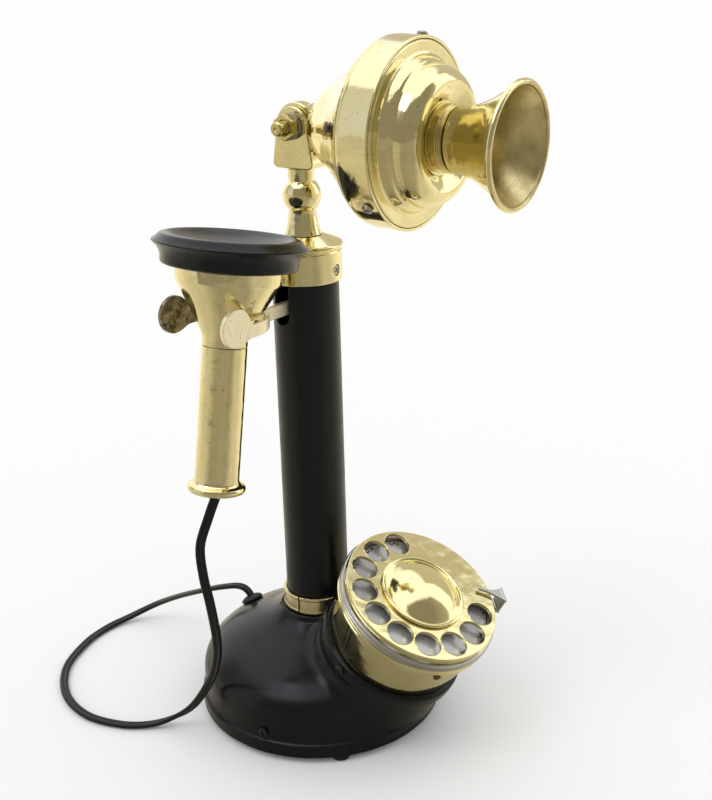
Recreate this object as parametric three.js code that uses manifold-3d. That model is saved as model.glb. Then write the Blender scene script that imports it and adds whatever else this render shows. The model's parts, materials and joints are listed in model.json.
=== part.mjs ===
// A candlestick desk telephone: a bell-shaped base with a tilted rotary dial, a column with a switch hook,
// a receiver hanging on the hook, and a tilting transmitter with a flared mouthpiece.
// Millimetres, +Z up, the front (dial and mouthpiece) towards -Y, the receiver on the -X side.
// Heights in this file are above the table; the finished group is lowered so that z = 0 is the
// underside panel.
import * as THREE from "three";
import { mergeVertices } from "three/addons/utils/BufferGeometryUtils.js";
import Module from "manifold-3d";

const wasm = await Module();
wasm.setup();

// ---- Driving dimensions ----
const GAP = 0.3; // left between pieces that touch on the real object
const WALL = 2; // spun base shell
const SHEET = 1.5; // brass sheet of the dial housing and the transmitter
const BIG = 24; // facets round a large turned piece
const MID = 20;
const SMALL = 12;
const TINY = 6;

const UNDERSIDE = 3.7; // flat underside panel, above the table
const RIM_R = 70; // base radius
const RIM_TOP = 11.6;
const HUB_R = 21.4;
const HUB_TOP = 63.1;

const TUBE_R = 17.7; // column tube
const TUBE_BORE = 15.7;
const TUBE_TOP = 269;
const COLLAR_R = 19.7;
const COLLAR_TOP = 73.4;
const CAP_BOTTOM = 255.3; // brass cap on the column
const CAP_R = 19.6;
const CAP_TOP = 278.7;
const SET_SCREW_Z = 261.5;

const BALL_R = 10; // ball on the stem
const BALL_Z = 299;
const STEM_TOP = 313;
const PIVOT_Z = 334.5; // transmitter hinge
const YAW = THREE.MathUtils.degToRad(5.1); // stem, yoke and transmitter are turned this much to +X
const DROOP = THREE.MathUtils.degToRad(2); // transmitter at rest points this much below level
const CASE_RISE = 1.5; // transmitter axis above the hinge
const CHEEK_IN = 4.1; // yoke cheeks, half width inside and outside
const CHEEK_OUT = 7;
const LUG_HALF = 3.7;
const LUG_R = 11.5;
const BOLT_R = 3.7;

const DRUM_R = 45.6; // transmitter drum
const DRUM_BACK = 52.7; // ahead of the hinge
const DRUM_FRONT = 70.7;
const DRUM_SCREW_Z = 65.3;
const MOUTH_FRONT = 124.5;
const MOUTH_R = 30;

const DIAL_OUT = 75.1; // centre of the finger wheel's face, ahead of the column axis
const DIAL_Z = 92.3;
const DIAL_TILT = THREE.MathUtils.degToRad(29.3); // dial axis, from vertical
const WHEEL_R = 43.4;
const HOLE_COUNT = 10;
const HOLE_R = 7.2;
const HOLE_CIRCLE_R = 33.8;
const HOLE_FIRST = THREE.MathUtils.degToRad(66.5);
const HOLE_PITCH = THREE.MathUtils.degToRad(26.5);
const STOP_ANGLE = THREE.MathUtils.degToRad(-33.5);
const STOP_R = 48.9; // inner face of the finger stop's wall
const FOOT_R = 37.7; // dial housing where it meets the socket of the base
const FOOT_S = -39.6;
const SOCKET_R = 38.4;
const GEAR_MODULE = 1.5;
const GEAR_TEETH = 28;
const PINION_TEETH = 8;
const GOVERNOR_ANGLE = (2 * Math.PI * 15.5) / GEAR_TEETH; // in the middle of a gap between two teeth

const HOOK_Z = 242.5; // middle of the hook's arm
const HOOK_PIVOT_X = 6;
const FORK_Z = 246; // middle of the fork's strip
const FORK_X = -61.2; // centre of the fork's half circle
const DISC_X = -74.2; // round ends of the fork
const DISC_Y = 21.4;
const DISC_Z = 249.8;
const DISC_R = 9.5;
const FORK_PLATE = 2.5;

const RECEIVER_FOOT = new THREE.Vector3(-75.2, -1.2, 160.7);
const RECEIVER_LEAN = THREE.MathUtils.degToRad(9.6); // top leans to the column
const HANDLE_R = 11.4;
const HANDLE_TOP = 75.1;
const BAND_R = 26.3;
const BAND_TOP = 113.7;
const EARCAP_R = 38.2;

const BRASS = { color: 0xcdb975, roughness: 0.18, metalness: 1 };
const DARK_BRASS = { color: 0x9c7f38, roughness: 0.35, metalness: 1 };
const BLACK_PAINT = { color: 0x1b1b1c, roughness: 0.45, metalness: 0 };
const RUBBER = { color: 0x222326, roughness: 0.75, metalness: 0 };
const NICKEL = { color: 0xa9aaac, roughness: 0.3, metalness: 1 };
const STEEL = { color: 0x55524e, roughness: 0.4, metalness: 1 };
const BAKELITE = { color: 0x2a211c, roughness: 0.5, metalness: 0 };
const COPPER = { color: 0xa8643a, roughness: 0.4, metalness: 1 };

// ---- Shapes ----
// A profile of [radius, height] points turned about +Z. It runs up the outside, anticlockwise.
function turned(profile, segments = MID) {
  const points = profile.map(([r, z]) => new THREE.Vector2(r, z));
  return new THREE.LatheGeometry(points, segments).rotateX(Math.PI / 2);
}

function ring(inner, outer, low, high, segments = MID) {
  return turned([[inner, low], [outer, low], [outer, high], [inner, high], [inner, low]], segments);
}

function disc(radius, low, high, segments = MID) {
  return turned([[0, low], [radius, low], [radius, high], [0, high]], segments);
}

function block(x, y, z, at) {
  return new THREE.BoxGeometry(x, y, z).translate(...at);
}

// Points of a smooth curve through [radius, height] points.
function smooth(points, count) {
  const curve = new THREE.SplineCurve(points.map(([r, z]) => new THREE.Vector2(r, z)));
  return curve.getPoints(count).map((p) => [p.x, p.y]);
}

function arc(centre, radius, from, to, count) {
  return Array.from({ length: count + 1 }, (_, i) => {
    const angle = THREE.MathUtils.degToRad(from + ((to - from) * i) / count);
    return [centre[0] + radius * Math.cos(angle), centre[1] + radius * Math.sin(angle)];
  });
}

// The outline moved to its left by the wall's thickness.
function inset(outline, thickness) {
  return outline.map(([r, z], i) => {
    const before = outline[Math.max(i - 1, 0)];
    const after = outline[Math.min(i + 1, outline.length - 1)];
    const run = [after[0] - before[0], after[1] - before[1]];
    const length = Math.hypot(...run);
    return [r - (thickness * run[1]) / length, z + (thickness * run[0]) / length];
  });
}

function shell(outline, thickness, segments = MID) {
  return turned([...outline, ...inset(outline, thickness).reverse(), outline[0]], segments);
}

function extruded(shape, depth, curveSegments = SMALL) {
  return new THREE.ExtrudeGeometry(shape, { depth, bevelEnabled: false, curveSegments });
}

// A copy of the geometry with its +Z turned to `direction` and its origin moved to `at`.
function aimed(geometry, at, direction) {
  const turn = new THREE.Quaternion().setFromUnitVectors(
    new THREE.Vector3(0, 0, 1),
    new THREE.Vector3(...direction).normalize(),
  );
  return geometry.clone().applyQuaternion(turn).translate(...at);
}

// ---- Booleans ----
function solid(geometry) {
  const bare = geometry.clone();
  bare.deleteAttribute("normal");
  bare.deleteAttribute("uv");
  const merged = mergeVertices(bare, 1e-4);
  const corners = merged.index.array;
  const triangles = [];
  for (let i = 0; i < corners.length; i += 3) {
    const [a, b, c] = corners.slice(i, i + 3);
    if (a !== b && b !== c && c !== a) triangles.push(a, b, c);
  }
  const vertProperties = new Float32Array(merged.attributes.position.array);
  const triVerts = new Uint32Array(triangles);
  return new wasm.Manifold(new wasm.Mesh({ numProp: 3, vertProperties, triVerts }));
}

function geometryOf(manifold) {
  const { vertProperties, triVerts } = manifold.getMesh();
  const geometry = new THREE.BufferGeometry();
  geometry.setAttribute("position", new THREE.BufferAttribute(new Float32Array(vertProperties), 3));
  geometry.setIndex(new THREE.BufferAttribute(new Uint32Array(triVerts), 1));
  return geometry;
}

function join(...geometries) {
  return geometryOf(geometries.map(solid).reduce((sum, next) => sum.add(next)));
}

function cut(geometry, ...tools) {
  return geometryOf(tools.map(solid).reduce((rest, tool) => rest.subtract(tool), solid(geometry)));
}

function common(geometry, tool) {
  return geometryOf(solid(geometry).intersect(solid(tool)));
}

// ---- Placing ----
const phone = new THREE.Group();
phone.position.z = -UNDERSIDE;

function frame(parent, at, turn = [0, 0, 0]) {
  const group = new THREE.Group();
  group.position.set(...at);
  group.rotation.set(...turn);
  group.updateMatrix();
  parent.add(group);
  return group;
}

function piece(parent, name, geometry, look) {
  const drawn = geometry.index ? geometry.toNonIndexed() : geometry;
  drawn.computeVertexNormals();
  const mesh = new THREE.Mesh(drawn, new THREE.MeshStandardMaterial(look));
  mesh.name = name;
  parent.add(mesh);
}

const dial = frame(phone, [0, -DIAL_OUT, DIAL_Z], [DIAL_TILT, 0, 0]);
const head = frame(phone, [0, 0, PIVOT_Z], [0, 0, YAW]);
const aim = frame(head, [0, 0, 0], [Math.PI / 2 + DROOP, 0, 0]);
const caseFrame = frame(aim, [0, CASE_RISE, 0]);
const receiver = frame(phone, RECEIVER_FOOT.toArray(), [0, RECEIVER_LEAN, 0]);

const round = (radius, angle, height) => [radius * Math.cos(angle), radius * Math.sin(angle), height];

// A fastener that enters a wall at `at`, head outwards along `direction`.
const SCREW = { headR: 2.7, headH: 1.7, shankR: 1.2, length: 6 };

function screw(parent, name, { at, direction }, size = SCREW, look = STEEL) {
  const { headR, headH, shankR, length } = size;
  const profile = [
    [0, -length],
    [shankR, -length],
    [shankR, GAP],
    [headR, GAP],
    [headR, GAP + headH * 0.5],
    [headR * 0.7, GAP + headH],
    [0, GAP + headH],
  ];
  piece(parent, name, aimed(turned(profile, TINY), at, direction), look);
}

function screwHole({ at, direction }, size = SCREW) {
  return aimed(disc(size.shankR + GAP, -size.length - 1, 3, TINY), at, direction);
}

// Screws spaced evenly round a turned wall, as places on the wall.
function placesRound(radius, height, firstDegrees, count) {
  return Array.from({ length: count }, (_, i) => {
    const angle = THREE.MathUtils.degToRad(firstDegrees + (360 / count) * i);
    return { at: round(radius, angle, height), direction: round(1, angle, 0) };
  });
}

// ---- Base ----
const BELL = smooth([
  [68.5, 15], [67.2, 30.5], [57.8, 41.2], [43.5, 48.9], [31, 54.6], [23.8, 59.6], [21.8, 62.2],
], 10);
const GROMMET = { at: [0, 54.3, 43.2], direction: [0, 0.49, 0.87] };
const RIM_SCREWS = placesRound(68.5, 16, -166.5, 3);
const SOCKET_SCREWS = placesRound(SOCKET_R, FOOT_S - 3.6, 175, 2);

function baseShell() {
  const rim = [[0, UNDERSIDE], [RIM_R - 0.6, UNDERSIDE], [RIM_R, UNDERSIDE + 0.6], [RIM_R, RIM_TOP - 0.7]];
  const step = [[RIM_R - 0.7, RIM_TOP], [68.6, RIM_TOP + 0.4]];
  const body = turned([...rim, ...step, ...BELL, [HUB_R, HUB_TOP], [0, HUB_TOP]], BIG);
  const inside = inset(BELL, WALL).filter(([r]) => r > TUBE_R + 2);
  const hollowR = inside[0][0];
  const hollow = turned([[0, 0], [hollowR, 0], ...inside, [0, inside.at(-1)[1]]], BIG);
  const socketBar = turned(
    [
      [0, -90], [SOCKET_R, -90], [SOCKET_R, FOOT_S - 1.2], [SOCKET_R - 0.7, FOOT_S - GAP - 0.1],
      [0, FOOT_S - GAP - 0.1],
    ],
    BIG,
  ).applyMatrix4(dial.matrix);
  const aboveRim = block(200, 200, 100, [0, -60, 50 + RIM_TOP]);
  const boreBar = disc(SOCKET_R - 2.4, -86, 0, BIG).applyMatrix4(dial.matrix);
  const boreSpace = block(120, 100, 100, [0, -50 - COLLAR_R - 3.3, 50 + RIM_TOP + 1.6]);
  return cut(
    join(body, common(socketBar, aboveRim)),
    hollow,
    common(boreBar, boreSpace),
    disc(TUBE_R + GAP, 40, HUB_TOP + 5, BIG),
    disc(COLLAR_R + 0.9, HUB_TOP, 100, BIG),
    aimed(disc(4.6, -6, 6, SMALL), GROMMET.at, GROMMET.direction),
    ...RIM_SCREWS.map((place) => screwHole(place)),
    ...SOCKET_SCREWS.map((place) => screwHole(place).applyMatrix4(dial.matrix)),
  );
}

function basePlate() {
  const PANEL_R = 58;
  const STEP = 1.4;
  const THICK = 1.2;
  return turned(
    [
      [0, UNDERSIDE],
      [PANEL_R, UNDERSIDE],
      [PANEL_R + STEP, UNDERSIDE + STEP],
      [66, UNDERSIDE + STEP],
      [66, UNDERSIDE + STEP + THICK],
      [PANEL_R + STEP - 0.5, UNDERSIDE + STEP + THICK],
      [PANEL_R - 0.5, UNDERSIDE + THICK],
      [0, UNDERSIDE + THICK],
    ],
    BIG,
  );
}

function buildBase() {
  piece(phone, "base_shell", baseShell(), BLACK_PAINT);
  piece(phone, "base_plate", basePlate(), BLACK_PAINT);
  const FEET_R = 64.4;
  const foot = turned(
    [
      [0, 0], [3.4, 0], [4.9, 0.9], [5.4, 2.2], [5.4, UNDERSIDE - GAP], [1.6, UNDERSIDE - GAP],
      [1.6, 4.8], [0, 4.8],
    ],
    SMALL,
  );
  for (const [i, degrees] of [-130, -40, 50, 140].entries()) {
    const at = round(FEET_R, THREE.MathUtils.degToRad(degrees), 0);
    piece(phone, `foot_${i + 1}`, foot.clone().translate(...at), RUBBER);
  }
  RIM_SCREWS.forEach((place, i) => screw(phone, `base_screw_${i + 1}`, place));
  SOCKET_SCREWS.forEach((place, i) => screw(dial, `socket_screw_${i + 1}`, place));
  const grommet = turned(
    [
      [3, -4.2], [5.8, -4.2], [5.8, -2.9], [4.3, -2.9], [4.3, GAP], [6.4, GAP], [6.6, 1.2], [5.8, 2.3],
      [3.6, 2.6], [3, 2], [3, -4.2],
    ],
    SMALL,
  );
  piece(phone, "cord_grommet", aimed(grommet, GROMMET.at, GROMMET.direction), RUBBER);
}

// ---- Inside the base ----
function buildBaseInternals() {
  const floor = UNDERSIDE + 1.2 + GAP;
  const posts = [-12, -4, 4, 12].map((x) => disc(2, floor + 4, floor + 12, TINY).translate(x, 24, 0));
  piece(phone, "terminal_block", join(block(34, 14, 9, [0, 24, floor + 4.5]), ...posts), BAKELITE);
  const spool = [[0, -24], [11, -24], [11, -22], [8.5, -22], [8.5, 22], [11, 22], [11, 24], [0, 24]];
  const bobbin = turned(spool, SMALL);
  piece(phone, "induction_coil", aimed(bobbin, [0, -4, floor + 11.2], [1, 0, 0]), COPPER);
}

// ---- Column ----
function buildColumn() {
  const slit = block(12, 1, 30, [-20, -2.4, 68]);
  const band = ring(TUBE_R + GAP, COLLAR_R, HUB_TOP + GAP, COLLAR_TOP, BIG);
  piece(phone, "column_collar", cut(band, slit), BRASS);

  const setScrew = placesRound(TUBE_R, SET_SCREW_Z, -81, 1)[0];
  const slotWidth = 10.8;
  const slotCentre = THREE.MathUtils.degToRad(7);
  const slot = join(
    block(20, slotWidth, 22, [-16, 0, 249]),
    aimed(disc(slotWidth / 2, -10, 10, SMALL), [-16, 0, 238.4], [1, 0, 0]),
  ).rotateZ(-slotCentre);
  const tube = cut(ring(TUBE_BORE, TUBE_R, 50, TUBE_TOP, BIG), slot, screwHole(setScrew));
  piece(phone, "column_tube", tube, BLACK_PAINT);

  const capProfile = [
    [TUBE_R + GAP, CAP_BOTTOM],
    [CAP_R, CAP_BOTTOM],
    [CAP_R, 271.6],
    [20.3, 272.7],
    [20.3, 274.2],
    [19.5, 275.2],
    [9.9, CAP_TOP],
    [6.3, CAP_TOP],
    [6.3, CAP_TOP - 2.4],
    [16.5, 272.6],
    [TUBE_R + GAP, 270.6],
    [TUBE_R + GAP, CAP_BOTTOM],
  ];
  const countersink = aimed(disc(3.1, -3, 6, SMALL), setScrew.at, setScrew.direction);
  piece(phone, "column_cap", cut(turned(capProfile, BIG), countersink), BRASS);
  screw(phone, "cap_set_screw", setScrew, { headR: 2.5, headH: 1.6, shankR: 1.2, length: 5 });
}

function buildStem() {
  const ballSide = (radius) => Math.sqrt(BALL_R ** 2 - radius ** 2);
  const degreesAt = (radius) => THREE.MathUtils.radToDeg(Math.asin(ballSide(radius) / BALL_R));
  const flare = smooth([[9.3, CAP_TOP + GAP], [8.4, 283], [7.4, 288.5], [7.1, BALL_Z - ballSide(7.1)]], 5);
  const ball = arc([0, BALL_Z], BALL_R, -degreesAt(7.1), degreesAt(6.5), 8).slice(1);
  const profile = [
    [0, 268],
    [5.9, 268],
    [5.9, CAP_TOP + GAP],
    ...flare,
    ...ball,
    [6.9, STEM_TOP],
    [3.5, STEM_TOP],
    [3.5, STEM_TOP + 5],
    [0, STEM_TOP + 5],
  ];
  piece(phone, "stem", turned(profile), BRASS);
}

// The yoke's outline seen from its side: x is forward, y is up from the hinge.
function yokeOutline() {
  const low = STEM_TOP + GAP - PIVOT_Z;
  const shape = new THREE.Shape();
  shape.moveTo(-9.4, low);
  shape.lineTo(9.4, low);
  shape.quadraticCurveTo(12.6, low, 12.3, low + 3);
  shape.lineTo(9.2, 0);
  shape.absarc(0, 0.6, 9.2, 0, Math.PI, false);
  shape.lineTo(-12.3, low + 3);
  shape.quadraticCurveTo(-12.6, low, -9.4, low);
  return shape;
}

function buildYoke() {
  const along = [1, 0, 0];
  // Local x of the shape goes to -Y, local y to +Z, and the depth to -X.
  const slab = extruded(yokeOutline(), 2 * CHEEK_OUT, 5)
    .translate(0, 0, -CHEEK_OUT)
    .rotateX(Math.PI / 2)
    .rotateZ(-Math.PI / 2);
  const floor = 320.5 - PIVOT_Z;
  const slot = block(2 * CHEEK_IN, 60, 60, [0, 0, floor + 30]);
  const boltHole = aimed(disc(BOLT_R + GAP, -20, 20, SMALL), [0, 0, 0], along);
  const spigotHole = disc(3.8, STEM_TOP - PIVOT_Z - 2, STEM_TOP - PIVOT_Z + 5.6, SMALL);
  piece(head, "yoke", cut(slab, slot, boltHole, spigotHole), BRASS);

  const bolt = turned(
    [
      [0, -19.5], [BOLT_R - 0.7, -19.5], [BOLT_R, -18.8], [BOLT_R, CHEEK_OUT + GAP], [5.4, CHEEK_OUT + GAP],
      [5.4, 9.6], [4, 11], [0, 11],
    ],
    SMALL,
  );
  piece(head, "pivot_bolt", aimed(bolt, [0, 0, 0], along), BRASS);
  const washer = ring(BOLT_R + GAP, 6.7, -8.7, -CHEEK_OUT - GAP, SMALL);
  piece(head, "pivot_washer", aimed(washer, [0, 0, 0], along), NICKEL);
  piece(head, "pivot_nut", aimed(ring(BOLT_R + 2 * GAP, 6.5, -13.6, -9, 6), [0, 0, 0], along), BRASS);
}

// ---- Transmitter, along +Z from the hinge ----
const CUP = smooth([[13, 14.5], [20, 22], [25.4, 30.5], [31.5, 38.5], [38, 46], [43, DRUM_BACK - 1.5]], 6);
const CUP_SCREW = { at: round(34.5, Math.PI * 0.95, 42), direction: [-0.78, 0.12, -0.6] };
const CASE_SCREWS = [78, 219.4, 339.4].map((degrees) => placesRound(DRUM_R, DRUM_SCREW_Z, degrees, 1)[0]);

function rearCup() {
  const wall = inset(CUP, SHEET).reverse();
  const bowl = turned([[0, 14.5], ...CUP, ...wall.slice(0, -1), [0, 17.5]], MID);
  const outline = new THREE.Shape();
  const blend = 1.05;
  outline.moveTo(LUG_R * Math.cos(blend), LUG_R * Math.sin(blend));
  outline.absarc(0, 0, LUG_R, blend, 2 * Math.PI - blend, false);
  outline.lineTo(15.5, -12.3 + CASE_RISE);
  outline.lineTo(15.5, 12.3 + CASE_RISE);
  // Local x of the shape goes along the transmitter's axis, local y stays up.
  const lug = extruded(outline, 2 * LUG_HALF, 14)
    .translate(0, 0, -LUG_HALF)
    .rotateY(-Math.PI / 2)
    .translate(0, -CASE_RISE, 0);
  const bore = aimed(disc(BOLT_R + GAP, -20, 20, SMALL), [0, -CASE_RISE, 0], [1, 0, 0]);
  return cut(join(bowl, lug), bore, screwHole(CUP_SCREW));
}

function buildTransmitter() {
  piece(caseFrame, "rear_cup", rearCup(), BRASS);
  screw(caseFrame, "cup_screw", CUP_SCREW);

  const drum = [
    [43.2, DRUM_BACK],
    [44.5, DRUM_BACK + 0.5],
    [45.2, DRUM_BACK + 1.9],
    [DRUM_R, DRUM_BACK + 5],
    [DRUM_R, DRUM_FRONT],
  ];
  const drumInside = [[DRUM_R - SHEET, DRUM_FRONT], [DRUM_R - SHEET, DRUM_BACK + 3], [42.4, DRUM_BACK + 1.6]];
  const drumBody = turned([...drum, ...drumInside, drum[0]], BIG);
  piece(caseFrame, "transmitter_case", cut(drumBody, ...CASE_SCREWS.map((place) => screwHole(place))), BRASS);
  CASE_SCREWS.forEach((place, i) => {
    screw(caseFrame, `case_screw_${i + 1}`, place, { ...SCREW, length: 3.4 });
  });

  const face = [
    [43.7, DRUM_FRONT - 5],
    [43.7, DRUM_FRONT],
    [42.9, DRUM_FRONT + 0.4],
    [36.6, DRUM_FRONT + 0.2],
    [35.6, DRUM_FRONT + 3],
    [33.4, DRUM_FRONT + 8],
    ...smooth([
      [32.6, DRUM_FRONT + 11], [30.2, DRUM_FRONT + 15], [26.4, DRUM_FRONT + 16.8],
      [21.5, DRUM_FRONT + 15.4], [17.2, DRUM_FRONT + 12.2],
    ], 5),
    [12.6, DRUM_FRONT + 12.2],
  ];
  const faceShell = cut(shell(face, 1.3, BIG), ...CASE_SCREWS.map((place) => screwHole(place)));
  piece(caseFrame, "transmitter_face", faceShell, BRASS);

  const neck = DRUM_FRONT + 12.5;
  piece(caseFrame, "mouthpiece_collar", ring(12.6, 16, neck, neck + 8.3, MID), DARK_BRASS);
  const horn = smooth([
    [15.3, neck + 8.6], [15.6, neck + 12], [17.9, neck + 20], [23.6, neck + 31.6], [29, MOUTH_FRONT - 1],
  ], 6);
  const lip = [...horn, [MOUTH_R, MOUTH_FRONT - 0.6], [29.4, MOUTH_FRONT]];
  const throat = inset(horn, SHEET).reverse();
  const floorZ = neck + 10.4;
  const mouth = [[0, neck + 8.6], ...lip, ...throat.slice(0, -1), [13.6, floorZ], [0, floorZ]];
  const mouthBody = turned(mouth, MID);
  const speakingHoles = [[0, 0], ...arc([0, 0], 7, 0, 300, 5)];
  const holes = speakingHoles.map(([x, y]) => disc(1.6, neck + 5, neck + 14, TINY).translate(x, y, 0));
  piece(caseFrame, "mouthpiece", cut(mouthBody, ...holes), BRASS);

  piece(caseFrame, "transmitter_diaphragm", disc(40.5, 67.4, 67.9, MID), NICKEL);
  piece(caseFrame, "diaphragm_gasket", ring(38, 42, 65.6, 67.1, MID), RUBBER);
  piece(caseFrame, "button_bridge", block(84, 12, 2, [0, 0, 64]), BRASS);
  piece(caseFrame, "carbon_button", disc(13, 52.5, 62.6, SMALL), BAKELITE);
}

// ---- Receiver, along +Z from the bottom of its handle ----
function buildReceiver() {
  const handle = [
    [9, 0],
    [14, 0],
    [14.8, 0.8],
    [14.8, 3],
    [14, 3.9],
    [12, 4.6],
    [HANDLE_R, 6.5],
    [HANDLE_R, HANDLE_TOP],
    [9, HANDLE_TOP],
    [9, 0],
  ];
  piece(receiver, "receiver_handle", turned(handle), BRASS);

  const cone = smooth([
    [HANDLE_R, HANDLE_TOP + GAP], [11.7, 79.5], [14.2, 85.7], [20, 96.3], [25.6, 106.4],
  ], 6);
  piece(receiver, "receiver_bell", shell([...cone, [BAND_R, 107.4], [BAND_R, BAND_TOP]], 1.4), BRASS);

  const cap = [
    [27, 114.5],
    [33.2, 114.5],
    [33.8, 115.3],
    [33.8, 119],
    [34.8, 121],
    [37.5, 124.4],
    [EARCAP_R, 125.4],
    [38, 126.4],
    [36.4, 127.6],
    [34.4, 129],
    [31.8, 129.4],
    [29, 128.6],
    [25, 126.9],
    [16, 125.6],
    [5, 125.1],
    [5, 122.7],
    [25, 123.6],
    [31.5, 124.4],
    [31.5, 116.3],
    [27, 116.3],
    [27, 114.5],
  ];
  piece(receiver, "receiver_cap", turned(cap, BIG), RUBBER);
  piece(receiver, "receiver_diaphragm", disc(31, 120.8, 121.2, MID), STEEL);
  const magnet = [[0, 113.6], [22, 113.6], [22, 116.2], [9, 116.2], [9, 120], [0, 120]];
  piece(receiver, "receiver_magnet", turned(magnet, SMALL), STEEL);
}

// ---- Switch hook ----
function hookLever() {
  const outer = DISC_Y + FORK_PLATE / 2;
  const inner = outer - FORK_PLATE;
  const strip = new THREE.Shape();
  strip.moveTo(DISC_X, -outer);
  strip.absarc(FORK_X, 0, outer, -Math.PI / 2, Math.PI / 2, false);
  strip.lineTo(DISC_X, outer);
  strip.lineTo(DISC_X, inner);
  strip.absarc(FORK_X, 0, inner, Math.PI / 2, -Math.PI / 2, true);
  strip.lineTo(DISC_X, -inner);
  const stripHeight = 6.4;
  const fork = extruded(strip, stripHeight, 16).translate(0, 0, FORK_Z - stripHeight / 2);
  const ends = [-1, 1].map((side) =>
    aimed(disc(DISC_R, -FORK_PLATE / 2, FORK_PLATE / 2, MID), [DISC_X, side * DISC_Y, DISC_Z], [0, 1, 0]),
  );
  const armEnd = 13;
  const armStart = FORK_X + inner + 0.5;
  const arm = block(armEnd - armStart, 3, 7, [(armEnd + armStart) / 2, 0, HOOK_Z]);
  const pinHole = aimed(disc(1.8, -5, 5, SMALL), [HOOK_PIVOT_X, 0, HOOK_Z], [0, 1, 0]);
  return cut(join(fork, ...ends, arm), pinHole);
}

function buildHook() {
  piece(phone, "hook_lever", hookLever(), BRASS);
  const pin = disc(1.5, -11, 11, TINY);
  piece(phone, "hook_pivot_pin", aimed(pin, [HOOK_PIVOT_X, 0, HOOK_Z], [0, 1, 0]), STEEL);
  const cheeks = [-1, 1].map((side) => block(10, 1.4, 20, [HOOK_PIVOT_X, side * 7.6, 240]));
  const pinHole = aimed(disc(1.8, -12, 12, SMALL), [HOOK_PIVOT_X, 0, HOOK_Z], [0, 1, 0]);
  const bracket = join(disc(TUBE_BORE - GAP, 229, 231, MID), ...cheeks);
  piece(phone, "hook_bracket", cut(bracket, pinHole), STEEL);
  const leaves = [232.8, 234.6, 236.4].map((z) => block(19, 5, 0.5, [3.5, 0, z]));
  piece(phone, "contact_springs", join(block(6, 8, 6.2, [-6, 0, 234.5]), ...leaves), BAKELITE);
}

// ---- Dial: z is measured outwards from the face of the finger wheel ----
function fingerWheel() {
  const profile = [
    [5.1, -1.8],
    [41.6, -1.8],
    [41.9, -3.2],
    [42.9, -3.2],
    [WHEEL_R, -2.5],
    [WHEEL_R, -0.9],
    [42.5, 0],
    [5.1, 0],
    [5.1, -1.8],
  ];
  const holes = Array.from({ length: HOLE_COUNT }, (_, i) => {
    const angle = HOLE_FIRST + HOLE_PITCH * i;
    return disc(HOLE_R, -5, 5, SMALL).translate(...round(HOLE_CIRCLE_R, angle, 0));
  });
  return cut(turned(profile, BIG), ...holes);
}

// A spur gear from z = 0 up, with short straight-sided teeth.
function gear(teeth, thickness, bore) {
  const pitchR = (GEAR_MODULE * teeth) / 2;
  const rootR = pitchR - 0.95 * GEAR_MODULE;
  const tipR = pitchR + 0.6 * GEAR_MODULE;
  const shape = new THREE.Shape();
  for (let i = 0; i < teeth; i += 1) {
    for (const [share, radius] of [[-0.3, rootR], [-0.1, tipR], [0.1, tipR], [0.3, rootR]]) {
      const angle = (2 * Math.PI * (i + share)) / teeth;
      const [x, y] = round(radius, angle, 0);
      if (i === 0 && share === -0.3) shape.moveTo(x, y);
      else shape.lineTo(x, y);
    }
  }
  shape.closePath();
  if (bore) shape.holes.push(new THREE.Path().absarc(0, 0, bore, 0, 2 * Math.PI, true));
  return extruded(shape, thickness, 8);
}

function fingerStop() {
  const outside = STOP_R + 1.2;
  const strip = block(1.2, 9, 10.6, [STOP_R + 0.6, 0, -2.8]);
  const footStart = 44.9;
  const foot = block(outside - footStart, 9, 1.2, [(outside + footStart) / 2, 0, -7.5]);
  const top = new THREE.Shape();
  top.moveTo(outside, -4.5);
  top.lineTo(outside, 4.5);
  top.quadraticCurveTo(43, 2.4, 36, 5);
  top.quadraticCurveTo(34.2, 4.6, 35.6, 2.9);
  top.quadraticCurveTo(42, 0.2, outside, -4.5);
  return join(strip, foot, extruded(top, 1.2, 6).translate(0, 0, 1.3)).rotateZ(STOP_ANGLE);
}

function returnSpring() {
  const turns = 2.5;
  const points = Array.from({ length: 37 }, (_, i) => {
    const angle = (2 * Math.PI * turns * i) / 36;
    return new THREE.Vector3(...round(6 + (7.5 * i) / 36, angle, -19.5));
  });
  const section = new THREE.Shape();
  section.moveTo(-1.6, -0.3);
  section.lineTo(1.6, -0.3);
  section.lineTo(1.6, 0.3);
  section.lineTo(-1.6, 0.3);
  section.closePath();
  const path = new THREE.CatmullRomCurve3(points);
  return new THREE.ExtrudeGeometry(section, { steps: 60, extrudePath: path, bevelEnabled: false });
}

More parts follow.
